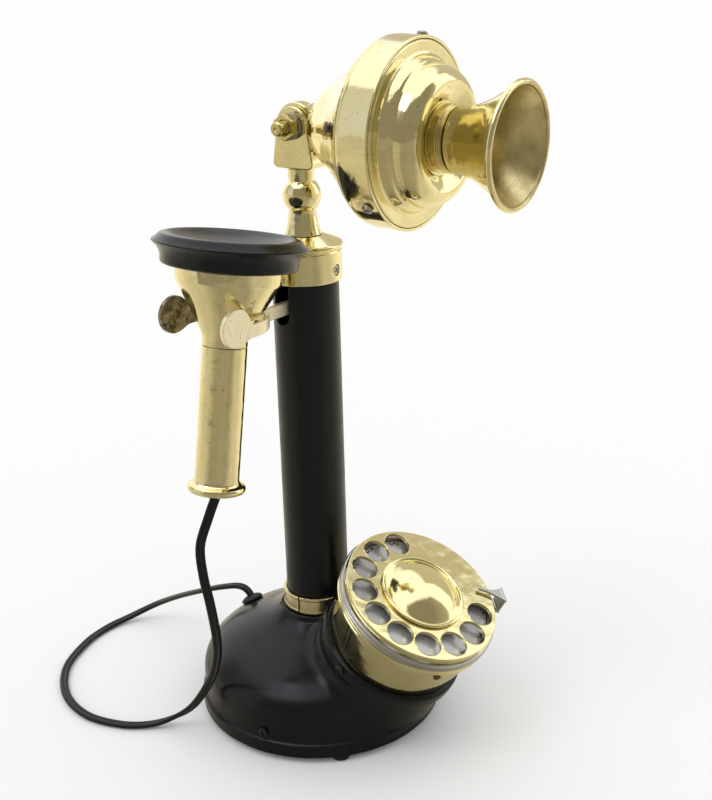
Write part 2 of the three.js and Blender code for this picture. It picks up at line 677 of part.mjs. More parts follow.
function buildDial() {
  const housing = [
    [FOOT_R - SHEET, FOOT_S],
    [FOOT_R, FOOT_S],
    [43.1, -12.6],
    [44.2, -11.4],
    [44.2, -9.9],
    [43.5, -8.9],
    [42, -8.9],
    [41.6, -12.6],
    [FOOT_R - SHEET, FOOT_S],
  ];
  const slope = 0.19;
  const sidePlace = (degrees, s) => {
    const angle = THREE.MathUtils.degToRad(degrees);
    const radius = 43.1 + slope * (s + 12.6);
    return { at: round(radius, angle, s), direction: [Math.cos(angle), Math.sin(angle), -slope] };
  };
  const places = [-120, -60, 90].map((degrees) => sidePlace(degrees, -15));
  const short = { ...SCREW, headR: 2, headH: 1.3, length: 3 };
  const walls = cut(turned(housing, BIG), ...places.map((place) => screwHole(place, short)));
  piece(dial, "dial_housing", walls, BRASS);
  places.forEach((place, i) => screw(dial, `housing_screw_${i + 1}`, place, short));

  const nickelRing = [
    [40.4, -8.6], [44, -8.6], [44.6, -7.8], [44.6, -4.9], [44.1, -4], [40.4, -4], [40.4, -8.6],
  ];
  piece(dial, "dial_ring", turned(nickelRing, BIG), NICKEL);
  piece(dial, "number_plate", ring(7, 40, -6, -4.8, MID), NICKEL);
  piece(dial, "finger_stop", fingerStop(), NICKEL);

  const governorR = (GEAR_MODULE * (GEAR_TEETH + PINION_TEETH)) / 2 + 0.1;
  const governorAt = round(governorR, GOVERNOR_ANGLE, 0);
  const shaftHole = disc(5.1, -20, 0, SMALL);
  const governorHole = disc(1.8, -20, 0, TINY).translate(...governorAt);
  piece(dial, "mechanism_plate", cut(disc(39, -12.4, -11, MID), shaftHole, governorHole), STEEL);

  piece(dial, "finger_wheel", fingerWheel(), BRASS);
  const dome = [
    [0, GAP], [23.4, GAP], [23.6, 1], [22.4, 1.7], [20.9, 1.5], ...arc([0, -22.9], 31.6, 51, 90, 6),
  ];
  dome[dome.length - 1][0] = 0;
  piece(dial, "dial_centre_cap", turned(dome, MID), BRASS);
  piece(dial, "dial_shaft", disc(4.8, -24, 0, SMALL), STEEL);
  piece(dial, "main_gear", gear(GEAR_TEETH, 1.8, 5.1).translate(0, 0, -16.8), BRASS);
  piece(dial, "return_spring", returnSpring(), STEEL);

  const pinion = gear(PINION_TEETH, 2.6, 0).rotateZ(GOVERNOR_ANGLE + Math.PI);
  const governor = join(
    pinion.translate(0, 0, -17.2),
    disc(1.5, -26.5, -11.2, TINY),
    disc(9, -25, -19.6, SMALL),
  ).translate(...governorAt);
  piece(dial, "governor", governor, BRASS);
}

// ---- Cord: a flat twin lead from the receiver, round on the table, to the grommet at the back ----
function cord() {
  const points = [
    [-75.8, -1.2, 158],
    [-80.5, 0.4, 147],
    [-87, 1, 133],
    [-89.6, -2.5, 118],
    [-89.6, -6, 103],
    [-84, -2.7, 79],
    [-77.2, 6.3, 58],
    [-71.5, 19.7, 36],
    [-73.4, 33, 16],
    [-79, 45, 6],
    [-88, 55, 2.4],
    [-98, 69, 2],
    [-104, 92, 2],
    [-98, 118, 2],
    [-80, 141, 2],
    [-55, 154, 2],
    [-34, 158, 2],
    [-16, 154, 4],
    [-5, 140, 13],
    [-4, 118, 26],
    [-6, 92, 40],
    [-4, 76, 47],
    [-1.5, 64, 50.5],
    [0, 57.6, 48.2],
    [0, 54, 42.6],
  ].map((p) => new THREE.Vector3(...p));
  const hexagon = arc([0, 0], 1, 0, 300, 5);
  const section = new THREE.Shape(hexagon.map(([x, y]) => new THREE.Vector2(1.1 * x, 2.2 * y)));
  const path = new THREE.CatmullRomCurve3(points);
  return new THREE.ExtrudeGeometry(section, { steps: 60, extrudePath: path, bevelEnabled: false });
}

buildBase();
buildBaseInternals();
buildColumn();
buildStem();
buildYoke();
buildTransmitter();
buildReceiver();
buildHook();
buildDial();
piece(phone, "receiver_cord", cord(), RUBBER);

export default phone;
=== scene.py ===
"""The looks of a candlestick desk telephone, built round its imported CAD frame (Blender 4.5).

Lengths are millimetres and heights are above the table unless a line says otherwise. Each piece stands
for the CAD node it is named after, with the same main dimensions and a finer surface.
"""

import json
import math
from math import cos, pi, radians, sin

import bmesh
import bpy
import numpy as np
from mathutils import Matrix, Vector
from mathutils.geometry import tessellate_polygon

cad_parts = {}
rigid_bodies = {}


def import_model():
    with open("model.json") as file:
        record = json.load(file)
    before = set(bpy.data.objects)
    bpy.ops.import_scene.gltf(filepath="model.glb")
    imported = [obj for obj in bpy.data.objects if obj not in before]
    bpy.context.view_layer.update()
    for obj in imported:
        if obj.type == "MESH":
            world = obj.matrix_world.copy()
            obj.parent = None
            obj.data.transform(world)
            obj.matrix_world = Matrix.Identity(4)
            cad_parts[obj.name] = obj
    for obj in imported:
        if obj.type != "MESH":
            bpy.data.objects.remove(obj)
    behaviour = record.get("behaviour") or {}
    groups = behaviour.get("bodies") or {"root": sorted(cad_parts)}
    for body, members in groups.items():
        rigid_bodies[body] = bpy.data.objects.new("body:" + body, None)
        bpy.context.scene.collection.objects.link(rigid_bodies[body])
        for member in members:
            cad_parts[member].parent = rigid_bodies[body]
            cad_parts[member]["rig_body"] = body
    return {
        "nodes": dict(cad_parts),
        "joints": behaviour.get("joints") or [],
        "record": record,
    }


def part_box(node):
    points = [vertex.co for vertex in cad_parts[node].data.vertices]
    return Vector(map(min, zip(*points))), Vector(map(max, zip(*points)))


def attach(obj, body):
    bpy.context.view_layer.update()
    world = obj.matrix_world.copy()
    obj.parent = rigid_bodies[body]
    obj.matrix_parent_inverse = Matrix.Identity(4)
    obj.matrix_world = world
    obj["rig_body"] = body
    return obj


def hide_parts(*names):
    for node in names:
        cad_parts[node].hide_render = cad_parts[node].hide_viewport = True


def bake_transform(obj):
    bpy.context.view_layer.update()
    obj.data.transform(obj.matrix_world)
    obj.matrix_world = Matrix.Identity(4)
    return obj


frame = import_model()
SCENE = bpy.context.scene
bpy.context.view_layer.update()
JOINTS = {joint["name"]: joint for joint in frame["joints"]}
SLOTS = {part["node"]: part["material_slot"] for part in frame["record"]["subparts"]}

# ---- Driving dimensions ----
MM = 0.001
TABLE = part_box("foot_1")[0].z  # metres, in the row frame
GAP = 0.3  # between neighbouring pieces

# Base, with the dial's socket given in the dial's frame
RIM_R = 70
RIM_TOP = 11.6
WALL = 2
HUB_TOP = 63.1
FEET_R = 64.4
SOCKET_R = 38
SOCKET_DEEP = -95
LIP = 2.8  # the socket's rim stands out this much

# Column
TUBE_R = 17.7
TUBE_BORE_R = 15.7
TUBE_LOW = 50
TUBE_TOP = 269
SLOT_HALF = 5.4
SLOT_LOW = 238.4
SLOT_TOP = 265
SLOT_TURN = radians(-7)
COLLAR_R = 19.7
COLLAR_TOP = 73.4
CAP_LOW = 255.3
CAP_TOP = 278.7
SET_SCREW_Z = 261.5
SET_SCREW_ANGLE = radians(-81)
BALL_R = 10
BALL_Z = 299
STEM_TOP = 313

# Yoke and transmitter, with the drum's heights along the transmitter's axis
PIVOT_Z = 334.5
YOKE_LOW = STEM_TOP + GAP - PIVOT_Z
YOKE_FLOOR = 320.5 - PIVOT_Z
DROOP = radians(2)  # the transmitter points this much below level
CASE_RISE = 1.5
CHEEK_IN = 4.1
CHEEK_OUT = 7
BOLT_R = 3.7
CUP_BACK = 14.5
DRUM_R = 45.6
DRUM_BACK = 52.7
DRUM_FRONT = 70.7
NECK = DRUM_FRONT + 12.5
MOUTH_FRONT = 124.5

# Dial, in its own frame, with the wheel's face at zero
WHEEL_R = 43.4
HOLE_R = 7.2
HOLE_CIRCLE_R = 33.8
HOLES = [radians(66.5 + 26.5 * i) for i in range(10)]
STOP_ANGLE = radians(-33.5)
STOP_R = 48.9
STOP_HALF = 4.5
HOUSING_R = 37.7  # at its foot
HOUSING_LEAN = 0.19
FOOT_S = -39.6

# Switch hook
FORK_Z = 246
FORK_X = -61.2
DISC_X = -74.2
DISC_Y = 21.4
DISC_Z = 249.8
DISC_R = 9.5
HOOK_Z = 242.5
FORK_PLATE = 2.5

# Receiver, in its own frame
HANDLE_R = 11.4
HANDLE_TOP = 75.1
BORE_R = 9
EAR_HOLE_R = 5
EAR_LOW = 114.5
RECEIVER_AT = (-75.2, -1.2, 160.7)
RECEIVER_LEAN = radians(9.6)


# ---- Frames: millimetres to the row frame ----
moved = Matrix.Translation


def about(axis, angle):
    return Matrix.Rotation(angle, 4, axis)


def axes(origin, x_axis, z_axis):
    """The matrix of a frame in millimetres whose origin is given in metres in the row frame."""
    z = Vector(z_axis).normalized()
    y = z.cross(Vector(x_axis)).normalized()
    turn = Matrix((y.cross(z), y, z)).transposed().to_4x4()
    return moved(origin) @ turn @ Matrix.Scale(MM, 4)


PHONE = axes((0, 0, TABLE), (1, 0, 0), (0, 0, 1))
DIAL = axes(JOINTS["dial_turn"]["pos_m"], (1, 0, 0), JOINTS["dial_turn"]["axis"])
HEAD = axes(JOINTS["transmitter_tilt"]["pos_m"], JOINTS["transmitter_tilt"]["axis"], (0, 0, 1))
CASE = HEAD @ about("X", pi / 2 + DROOP) @ moved((0, CASE_RISE, 0))
RECEIVER = PHONE @ moved(RECEIVER_AT) @ about("Y", RECEIVER_LEAN)
PIVOT = HEAD @ about("Y", pi / 2)
DIAL_IN_PHONE = PHONE.inverted() @ DIAL


def pointing(at, direction):
    """A frame at a place whose +Z points along a direction."""
    turn = Vector(direction).to_track_quat("Z", "Y").to_matrix().to_4x4()
    return moved(at) @ turn


def on_circle(radius, angle, height=0):
    return Vector((radius * cos(angle), radius * sin(angle), height))


# ---- Pieces ----
def mesh_of(name, points, faces, normals=None):
    mesh = bpy.data.meshes.new(name)
    mesh.from_pydata([tuple(p) for p in points], [], faces)
    mesh.update()
    mesh.shade_smooth()
    if normals is not None:
        mesh.normals_split_custom_set_from_vertices([tuple(n) for n in normals])
    return mesh


def placed(name, data, where=Matrix()):
    """A new object in the scene."""
    thing = bpy.data.objects.new(name, data)
    SCENE.collection.objects.link(thing)
    thing.matrix_world = where
    return thing


def stands_for(thing, node):
    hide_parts(node)
    return thing


def piece(name, mesh, where, material=None, node=None):
    """An object that rides with the CAD node it stands for."""
    node = node or name
    if not mesh.materials:
        mesh.materials.append(material)
    thing = placed(f"{name}_skin", mesh, where)
    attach(thing, frame["nodes"][node]["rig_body"])
    return stands_for(thing, node)


# ---- Turned shapes ----
SHARPEST = 20  # degrees that an outline may turn without being softened
CORNER_STEPS = 4


def softened(profile, radius):
    """The profile with each corner turned into a small curve."""
    closed = tuple(profile[0]) == tuple(profile[-1])
    points = [Vector(p) for p in (profile[:-1] if closed else profile)]
    result = []
    for i, point in enumerate(points):
        end = not closed and i in (0, len(points) - 1)
        before = points[i - 1] - point
        after = points[(i + 1) % len(points)] - point
        if end or math.degrees(pi - before.angle(after, pi)) < SHARPEST:
            result.append(tuple(point))
            continue
        start = point + before.normalized() * min(radius, before.length * 0.45)
        stop = point + after.normalized() * min(radius, after.length * 0.45)
        for k in range(CORNER_STEPS + 1):
            t = k / CORNER_STEPS
            result.append(tuple(start * (1 - t) ** 2 + point * 2 * t * (1 - t) + stop * t * t))
    return result + result[:1] if closed else result


def curve(points, per_span=8):
    """A smooth line through the points."""
    known = [Vector(p) for p in points]
    known = [known[0] * 2 - known[1], *known, known[-1] * 2 - known[-2]]
    result = []
    for a, b, c, d in zip(known, known[1:], known[2:], known[3:]):
        for k in range(per_span):
            t = k / per_span
            cubic = (a * -1 + b * 3 - c * 3 + d) * t**3 + (a * 2 - b * 5 + c * 4 - d) * t**2
            result.append(tuple((cubic + (c - a) * t + b * 2) / 2))
    return [*result, tuple(points[-1])]


def arc(centre, radius, first, last, steps):
    """Points on a circle, with the angles in degrees."""
    angles = [radians(first + (last - first) * i / steps) for i in range(steps + 1)]
    return [(centre[0] + radius * cos(a), centre[1] + radius * sin(a)) for a in angles]


def above(level, outline):
    """The outline with its heights counted from a level."""
    return [(r, level + z) for r, z in outline]


def inset(outline, thickness):
    """The outline moved to its left."""
    result = []
    for i, point in enumerate(outline):
        before = outline[max(i - 1, 0)]
        after = outline[min(i + 1, len(outline) - 1)]
        run = (Vector(after) - Vector(before)).normalized() * thickness
        result.append((point[0] - run.y, point[1] + run.x))
    return result


def turned(name, profile, steps, radius):
    """A profile of (radius, height) turned about +Z. It runs anticlockwise, up the outside."""
    profile = softened(profile, radius)
    closed = tuple(profile[0]) == tuple(profile[-1])
    line = np.array(profile[:-1] if closed else profile, float)
    edge = np.roll(line, -1, axis=0) - line
    if not closed:
        edge[-1] = 0
    out = edge + np.roll(edge, 1, axis=0)
    out = np.stack([out[:, 1], -out[:, 0]], axis=1)
    out /= np.maximum(np.linalg.norm(out, axis=1, keepdims=True), 1e-9)
    points, normals, rings, faces = [], [], [], []
    for (r, z), (nr, nz) in zip(line, out):
        count = 1 if r < 1e-6 else steps
        rings.append([len(points) + i for i in range(count)])
        for i in range(count):
            angle = 2 * pi * i / steps
            points.append(on_circle(r, angle, z))
            normals.append(on_circle(nr, angle, nz) if count > 1 else Vector((0, 0, math.copysign(1, nz))))
    for low, high in zip(rings, rings[1:] + (rings[:1] if closed else [])):
        for i in range(steps):
            j = (i + 1) % steps
            corners = [low[i % len(low)], low[j % len(low)], high[j % len(high)], high[i % len(high)]]
            face = [c for k, c in enumerate(corners) if c not in corners[:k]]
            if len(face) > 2:
                faces.append(face)
    return mesh_of(name, points, faces, normals)


def spun(name, profile, where, material, steps, radius=0.35, node=None):
    """A turned piece."""
    return piece(name, turned(name, profile, steps, radius), where, material, node)


def shell_profile(outline, thickness):
    return [*outline, *reversed(inset(outline, thickness)), outline[0]]


def ring_profile(inner, outer, low, high):
    return [(inner, low), (outer, low), (outer, high), (inner, high), (inner, low)]


def disc_profile(radius, low, high):
    return [(0, low), (radius, low), (radius, high), (0, high)]


# ---- Solids from distance fields: a field gives the distance to a surface, below zero inside ----
COARSE = 4  # a field is first sampled at every fourth grid point
PULLS = 4  # times that a point is drawn onto the surface
REACH = 1 / 8  # of a cell, for a field's slope


def field_polygon(points, outline):
    """Distance in the plane to a closed outline."""
    corners = np.asarray(outline, float)
    best = np.full(len(points), np.inf)
    inside = np.zeros(len(points), bool)
    px, py = points[:, 0], points[:, 1]
    for (ax, ay), (bx, by) in zip(corners, np.roll(corners, -1, axis=0)):
        ex, ey = bx - ax, by - ay
        wx, wy = px - ax, py - ay
        t = np.clip((wx * ex + wy * ey) / max(ex * ex + ey * ey, 1e-12), 0, 1)
        best = np.minimum(best, (wx - ex * t) ** 2 + (wy - ey * t) ** 2)
        if ey:
            inside ^= ((ay > py) != (by > py)) & (px < ax + ex * (py - ay) / ey)
    return np.where(inside, -1, 1) * np.sqrt(best)


def field_between(flat, height, low, high, rounding=0):
    """A plane distance given thickness from low to high, with rounded edges."""
    across = flat + rounding
    along = np.abs(height - (low + high) / 2) - (high - low) / 2 + rounding
    outside = np.hypot(np.maximum(across, 0), np.maximum(along, 0))
    return outside + np.minimum(np.maximum(across, along), 0) - rounding


def field_rod(points, radius, low, high, rounding=0):
    return field_between(np.hypot(points[:, 0], points[:, 1]) - radius, points[:, 2], low, high, rounding)


def field_box(points, low, high, rounding=0):
    half = (np.array(high) - np.array(low)) / 2 - rounding
    q = np.abs(points - (np.array(high) + np.array(low)) / 2) - half
    return np.linalg.norm(np.maximum(q, 0), axis=1) + np.minimum(q.max(axis=1), 0) - rounding


def united(a, b, blend=0):
    if not blend:
        return np.minimum(a, b)
    h = np.clip(0.5 + (b - a) / (2 * blend), 0, 1)
    return b * (1 - h) + a * h - blend * h * (1 - h)


def without(a, b, blend=0):
    return -united(-a, b, blend)


def seen_from(matrix, points):
    """The points in another frame of the same unit."""
    inverse = np.array(matrix.inverted())
    return points @ inverse[:3, :3].T + inverse[:3, 3]


def sampled(field, low, high, cell):
    """The field on a grid, exact near its surface only."""
    shape = [COARSE * math.ceil((b - a) / cell / COARSE) + 1 for a, b in zip(low, high)]
    steps = [np.arange(n) * cell + a for n, a in zip(shape, low)]
    grid = np.stack(np.meshgrid(*steps, indexing="ij"), axis=-1)
    rough = grid[::COARSE, ::COARSE, ::COARSE]
    value = field(rough.reshape(-1, 3)).reshape(rough.shape[:3])
    for axis in range(3):
        value = np.repeat(value, COARSE, axis=axis)
    value = value[: shape[0], : shape[1], : shape[2]].copy()
    near = np.abs(value) < 2 * COARSE * cell
    value[near] = field(grid[near])
    return value


def crossings(value, cells):
    """The mean point, in grid steps, where the surface crosses the edges of each cell."""
    total = np.zeros((len(cells), 3))
    hits = np.zeros(len(cells))
    edges = [(corner, axis) for corner in np.ndindex(2, 2, 2) for axis in range(3) if not corner[axis]]
    for corner, axis in edges:
        step = np.eye(3, dtype=int)[axis]
        first = cells + corner
        a = value[tuple(first.T)]
        b = value[tuple((first + step).T)]
        hit = (a < 0) != (b < 0)
        share = np.where(hit, a / np.where(hit, a - b, 1), 0)
        total += np.where(hit[:, None], first + step * share[:, None], 0)
        hits += hit
    return total / hits[:, None]


def slope(field, points, reach):
    steps = np.eye(3) * reach
    return np.stack([(field(points + s) - field(points - s)) / (2 * reach) for s in steps], axis=1)


def solid(name, field, low, high, cell):
    """A closed mesh of the surface where the field is zero, with the field's own normals."""
    value = sampled(field, low, high, cell)
    inside = value < 0
    shape = np.array(value.shape)
    filled = sum(
        inside[tuple(slice(c, n - 1 + c) for c, n in zip(corner, shape))].astype(int)
        for corner in np.ndindex(2, 2, 2)
    )
    mixed = (filled > 0) & (filled < 8)
    index = np.full(mixed.shape, -1)
    index[mixed] = np.arange(mixed.sum())
    points = crossings(value, np.argwhere(mixed)) * cell + np.array(low)
    for _ in range(PULLS):
        run = slope(field, points, cell * REACH)
        points -= run * (field(points) / np.maximum((run**2).sum(axis=1), 0.1))[:, None]
    normals = slope(field, points, cell * REACH)
    normals /= np.maximum(np.linalg.norm(normals, axis=1, keepdims=True), 1e-9)
    faces = []
    for a in range(3):
        b, c = (a + 1) % 3, (a + 2) % 3
        near = np.take(inside, range(shape[a] - 1), axis=a)
        far = np.take(inside, range(1, shape[a]), axis=a)
        for keep, order in ((near & ~far, 1), (far & ~near, -1)):
            at = np.argwhere(keep)
            ring = []
            for db, dc in ((-1, -1), (0, -1), (0, 0), (-1, 0)):
                cell_at = at.copy()
                cell_at[:, b] += db
                cell_at[:, c] += dc
                ring.append(index[tuple(cell_at.T)])
            faces.append(np.stack(ring[::order], axis=1))
    return mesh_of(name, points, np.concatenate(faces).tolist(), normals)


# ---- Materials ----
CAD_UNIT = 1000  # millimetres in one unit of a mesh kept in metres
PALE_BRASS = (0.84, 0.765, 0.46)
SOFT_BRASS = (0.81, 0.715, 0.37)
WARM_BRASS = (0.75, 0.63, 0.28)
TARNISH = (0.20, 0.13, 0.045)
NOISE_SPAN = (0.3, 0.7)  # what most of a noise lies between
COOL = (0.88, 0.92, 1, 1)  # takes the warmth of the room out of what black pieces mirror


class Nodes:
    """Adds nodes to a tree. A value is a number, a colour or another node's output."""

    def __init__(self, tree):
        self.tree = tree

    def fill(self, socket, value):
        if isinstance(value, bpy.types.NodeSocket):
            self.tree.links.new(value, socket)
        else:
            socket.default_value = value

    def add(self, kind, inputs=None, **settings):
        node = self.tree.nodes.new(f"ShaderNode{kind}")
        for key, value in settings.items():
            setattr(node, key, value)
        for key, value in (inputs or {}).items():
            self.fill(node.inputs[key], value)
        return node

    def maths(self, operation, a, b=0):
        return self.add("Math", {0: a, 1: b}, operation=operation).outputs[0]

    def times(self, a, b):
        return self.maths("MULTIPLY", a, b)

    def dot(self, vector, axis):
        inputs = {0: vector, 1: tuple(axis)}
        return self.add("VectorMath", inputs, operation="DOT_PRODUCT").outputs["Value"]

    def span(self, value, low, high, to_low=0, to_high=1):
        inputs = {"Value": value, "From Min": low, "From Max": high, "To Min": to_low, "To Max": to_high}
        return self.add("MapRange", inputs).outputs[0]

    def following(self, noise, low, high):
        """A value from low to high that follows a noise."""
        return self.span(noise, *NOISE_SPAN, low, high)

    def mix(self, share, a, b):
        a, b = ((*value, 1) if isinstance(value, tuple) else value for value in (a, b))
        return self.add("Mix", {0: share, 6: a, 7: b}, data_type="RGBA").outputs[2]

    def for_mirrors(self, plain, shares):
        """A plain grey, which polished surfaces see as another colour, given by its three shares."""
        mirrored = self.add("LightPath").outputs["Is Glossy Ray"]
        seen = self.add("CombineColor", dict(enumerate(shares)))
        return self.mix(mirrored, (plain, plain, plain), seen.outputs[0])


class Recipe(Nodes):
    """A material, with its coordinates in millimetres."""

    def __init__(self, name, per_mm=1):
        self.material = bpy.data.materials.new(name)
        self.material.use_nodes = True
        super().__init__(self.material.node_tree)
        self.tree.nodes.clear()
        self.shader = self.add("BsdfPrincipled")
        self.add("OutputMaterial", {"Surface": self.shader.outputs[0]})
        where = self.add("TexCoord").outputs["Object"]
        scaled = self.add("VectorMath", {0: where, "Scale": per_mm}, operation="SCALE")
        self.where = scaled.outputs[0]

    def stretched(self, x, y, z):
        scale = self.add("VectorMath", {0: self.where, 1: (x, y, z)}, operation="MULTIPLY")
        return scale.outputs[0]

    def polar(self):
        """The angle, radius and height about the object's own axis."""
        x, y, z = self.add("SeparateXYZ", {0: self.where}).outputs
        flat = self.add("VectorMath", {0: self.stretched(1, 1, 0)}, operation="LENGTH")
        return self.maths("ARCTAN2", y, x), flat.outputs["Value"], z

    def round_axis(self, *scales):
        """Coordinates for marks that run round the object's own axis."""
        parts = [self.times(value, scale) for value, scale in zip(self.polar(), scales)]
        return self.add("CombineXYZ", dict(enumerate(parts))).outputs[0]

    def noise(self, scale, detail=3, vector=None, roughness=0.5):
        inputs = {"Vector": vector or self.where, "Scale": scale, "Detail": detail, "Roughness": roughness}
        return self.add("TexNoise", inputs).outputs["Fac"]

    def done(self, colour, roughness, *layers, **others):
        """The finished material. Its bump is in layers of (height, depth in millimetres)."""
        values = {"Base Color": colour, "Roughness": roughness}
        values.update((key.replace("_", " "), value) for key, value in others.items())
        for height, depth in layers:
            inputs = {"Height": height, "Strength": 1, "Distance": depth * MM}
            if "Normal" in values:
                inputs["Normal"] = values["Normal"]
            values["Normal"] = self.add("Bump", inputs).outputs[0]
        for key, value in values.items():
            self.fill(self.shader.inputs[key], value)
        return self.material


def polished_brass(name, waves=0.03, wear=0.25, tint=PALE_BRASS, second=SOFT_BRASS, gloss=0.08, per_mm=1):
    """Brass in two tints, with dark specks, stained blotches and fine hairlines."""
    made = Recipe(name, per_mm)
    cloud = made.noise(0.045, 4)
    colour = made.mix(made.span(cloud, 0.35, 0.75), tint, second)
    specks = made.span(made.noise(0.9, 2), 0.70 - 0.06 * wear, 0.76)
    blotches = made.span(made.noise(0.11, 5, roughness=0.7), 0.60, 0.80, 0, wear)
    colour = made.mix(made.maths("MAXIMUM", specks, blotches), colour, TARNISH)
    smear = made.noise(0.18, 5, roughness=0.65)
    hairlines = made.noise(3, 2, made.round_axis(1.5, 3, 3))
    rough = made.span(smear, 0.3, 0.75, gloss * 0.7, gloss + 0.16 * wear + 0.03)
    dents = (made.noise(0.06, 1.5), waves * 30)
    ripples = (made.noise(0.25, 2), waves * 3)
    return made.done(colour, rough, dents, ripples, (hairlines, 0.002 + 0.004 * wear), Metallic=1)


def rubbed_shaded_brass(name):
    """Brass rubbed dull and pale and speckled dark, with painted shade that darkens it towards +Y, over the
    back disc.
    """
    made = Recipe(name)
    speckle = made.noise(1.1, 5, roughness=0.75)
    scratch = made.noise(1, 3, made.stretched(2.5, 2.5, 0.35), roughness=0.8)
    worn_and_shaded = made.mix(made.span(speckle, 0.35, 0.6), (0.80, 0.71, 0.47), (0.94, 0.87, 0.63))
    # painted shade: the disc at +Y, away from the camera, is darkened in its colour, broken up by a noise
    painted_shade_at_back = made.span(made.add("SeparateXYZ", {0: made.where}).outputs[1], 8, 18)
    shade_breaks = made.span(made.noise(0.22, 5, roughness=0.75), 0.4, 0.66, 1, 0.55)
    worn_and_shaded = made.mix(made.times(painted_shade_at_back, shade_breaks), worn_and_shaded, (0.07, 0.045, 0.015))
    colour = made.mix(made.span(scratch, 0.6, 0.68, 0, 0.8), worn_and_shaded, (0.16, 0.11, 0.05))
    rough = made.following(speckle, 0.26, 0.42)
    return made.done(colour, rough, (speckle, 0.03), (scratch, 0.03), Metallic=0.65)


def turned_brass(name):
    """Brass left with the lines of the cutting tool."""
    made = Recipe(name)
    lines = made.noise(1, 4, made.round_axis(0.6, 3.2, 4.5), roughness=0.8)
    cloud = made.noise(0.12, 4)
    colour = made.mix(made.span(cloud, 0.35, 0.7), (0.70, 0.60, 0.32), (0.46, 0.38, 0.18))
    return made.done(colour, made.following(lines, 0.2, 0.38), (lines, 0.05), Metallic=1)


def worn_nickel(name, tone, streaks, gloss=0.22):
    """Nickel plate with long dark streaks round it."""
    made = Recipe(name)
    long = made.noise(1, 5, made.round_axis(3, 1.6, 1.6), roughness=0.75)
    light = (tone, tone, tone * 0.985)
    dark = (tone * 0.35, tone * 0.34, tone * 0.32)
    colour = made.mix(made.span(long, 0.42, 0.72, 0, streaks), light, dark)
    return made.done(colour, made.following(long, gloss, gloss + 0.22), (long, 0.02), Metallic=1)


def satin_paint(name, tone=0.004, gloss=0.17):
    """Black paint with a little dust and a faint unevenness."""
    made = Recipe(name)
    dust = made.span(made.noise(0.35, 6, roughness=0.75), 0.62, 0.85, 0, 0.2)
    cloud = made.span(made.noise(0.02, 3), 0.3, 0.7)
    colour = made.mix(cloud, (tone, tone, tone * 1.08), (tone * 1.5, tone * 1.5, tone * 1.65))
    colour = made.mix(dust, colour, (0.03, 0.03, 0.032))
    rough = made.following(made.noise(0.08, 5), gloss, gloss + 0.14)
    dents = (made.noise(0.03, 1), 0.25)
    grain = (made.noise(1.6, 3), 0.012)
    return made.done(colour, rough, dents, grain, Specular_IOR_Level=0.27, Specular_Tint=COOL)


def chalky_rubber_with_edge_highlight(name, tone=0.0035, chalk=0.4, gloss=0.13):
    """Black rubber with chalky patches, and a painted highlight in grey along its edges, where the mesh is
    pointy.
    """
    made = Recipe(name)
    patches = made.span(made.noise(0.09, 6, roughness=0.7), 0.5, 0.78, 0, chalk)
    grain = made.noise(2.2, 4, roughness=0.7)
    # painted highlight: pointy edges are turned grey in the colour, standing in for light caught on them
    edges = made.span(made.add("NewGeometry").outputs["Pointiness"], 0.52, 0.60, 0, 0.55)
    chalk_and_edge_highlight = made.maths("MAXIMUM", made.times(patches, grain), edges)
    colour = made.mix(chalk_and_edge_highlight, (tone, tone * 1.02, tone * 1.1), (0.075, 0.078, 0.082))
    rough = made.following(grain, gloss, gloss + 0.14)
    dents = (made.noise(0.3, 3), 0.1)
    return made.done(colour, rough, (grain, 0.03), dents, Specular_IOR_Level=0.32, Specular_Tint=COOL)


def plain_finish(name, colour, metallic, roughness, per_mm=1, grain=1.2):
    """A moulded or machined finish with a little mottling, for small and inner pieces."""
    made = Recipe(name, per_mm)
    mottle = made.noise(grain, 4)
    shade = made.mix(made.span(mottle, 0.3, 0.75), colour, tuple(c * 0.6 for c in colour))
    rough = made.following(mottle, roughness, roughness + 0.15)
    return made.done(shade, rough, (mottle, 0.02), Metallic=metallic)


MARKS_R = 38.2
MARKS_HALF_HEIGHT = 1
MARKS_HALF_WIDTH = 0.17  # of the way from one finger hole to the next
MARKS_PLACE = 0.62  # where they stand between two holes, in the same measure


def number_plate_finish():
    """Silvered plate, lighter and darker twice round it in painted shade and reflection, with a short
    printed mark beside each finger hole.
    """
    made = Recipe("silvered_plate")
    angle, radius, _ = made.polar()
    brushed = made.noise(1, 4, made.round_axis(14, 0.3, 0.3))
    # painted shade and reflection: the grey goes light and dark twice round the plate
    tone = made.span(made.maths("SINE", made.times(angle, 2)), -1, 1)
    colour = made.mix(tone, (0.34, 0.34, 0.35), (0.56, 0.56, 0.57))
    turns = made.maths("DIVIDE", made.maths("SUBTRACT", angle, HOLES[0]), HOLES[1] - HOLES[0])
    turns = made.maths("FRACT", made.maths("ADD", turns, MARKS_PLACE))
    beside = made.maths("ABSOLUTE", made.maths("SUBTRACT", turns, 0.5))
    band = made.maths("ABSOLUTE", made.maths("SUBTRACT", radius, MARKS_R))
    strokes = made.maths("GREATER_THAN", made.noise(1, 0, made.round_axis(26, 1.1, 0)), 0.5)
    inside = made.maths("LESS_THAN", beside, MARKS_HALF_WIDTH)
    inside = made.times(inside, made.maths("LESS_THAN", band, MARKS_HALF_HEIGHT))
    colour = made.mix(made.times(inside, strokes), colour, (0.01, 0.01, 0.01))
    return made.done(colour, made.following(brushed, 0.26, 0.4), (brushed, 0.01), Metallic=0.55)


def cord_finish():
    made = Recipe("cord_cover", CAD_UNIT)
    grain = made.noise(1.5, 3)
    colour = made.mix(made.span(grain, 0.3, 0.7), (0.003, 0.003, 0.0033), (0.007, 0.007, 0.0075))
    return made.done(colour, made.following(grain, 0.26, 0.38), (grain, 0.03), Specular_IOR_Level=0.3)


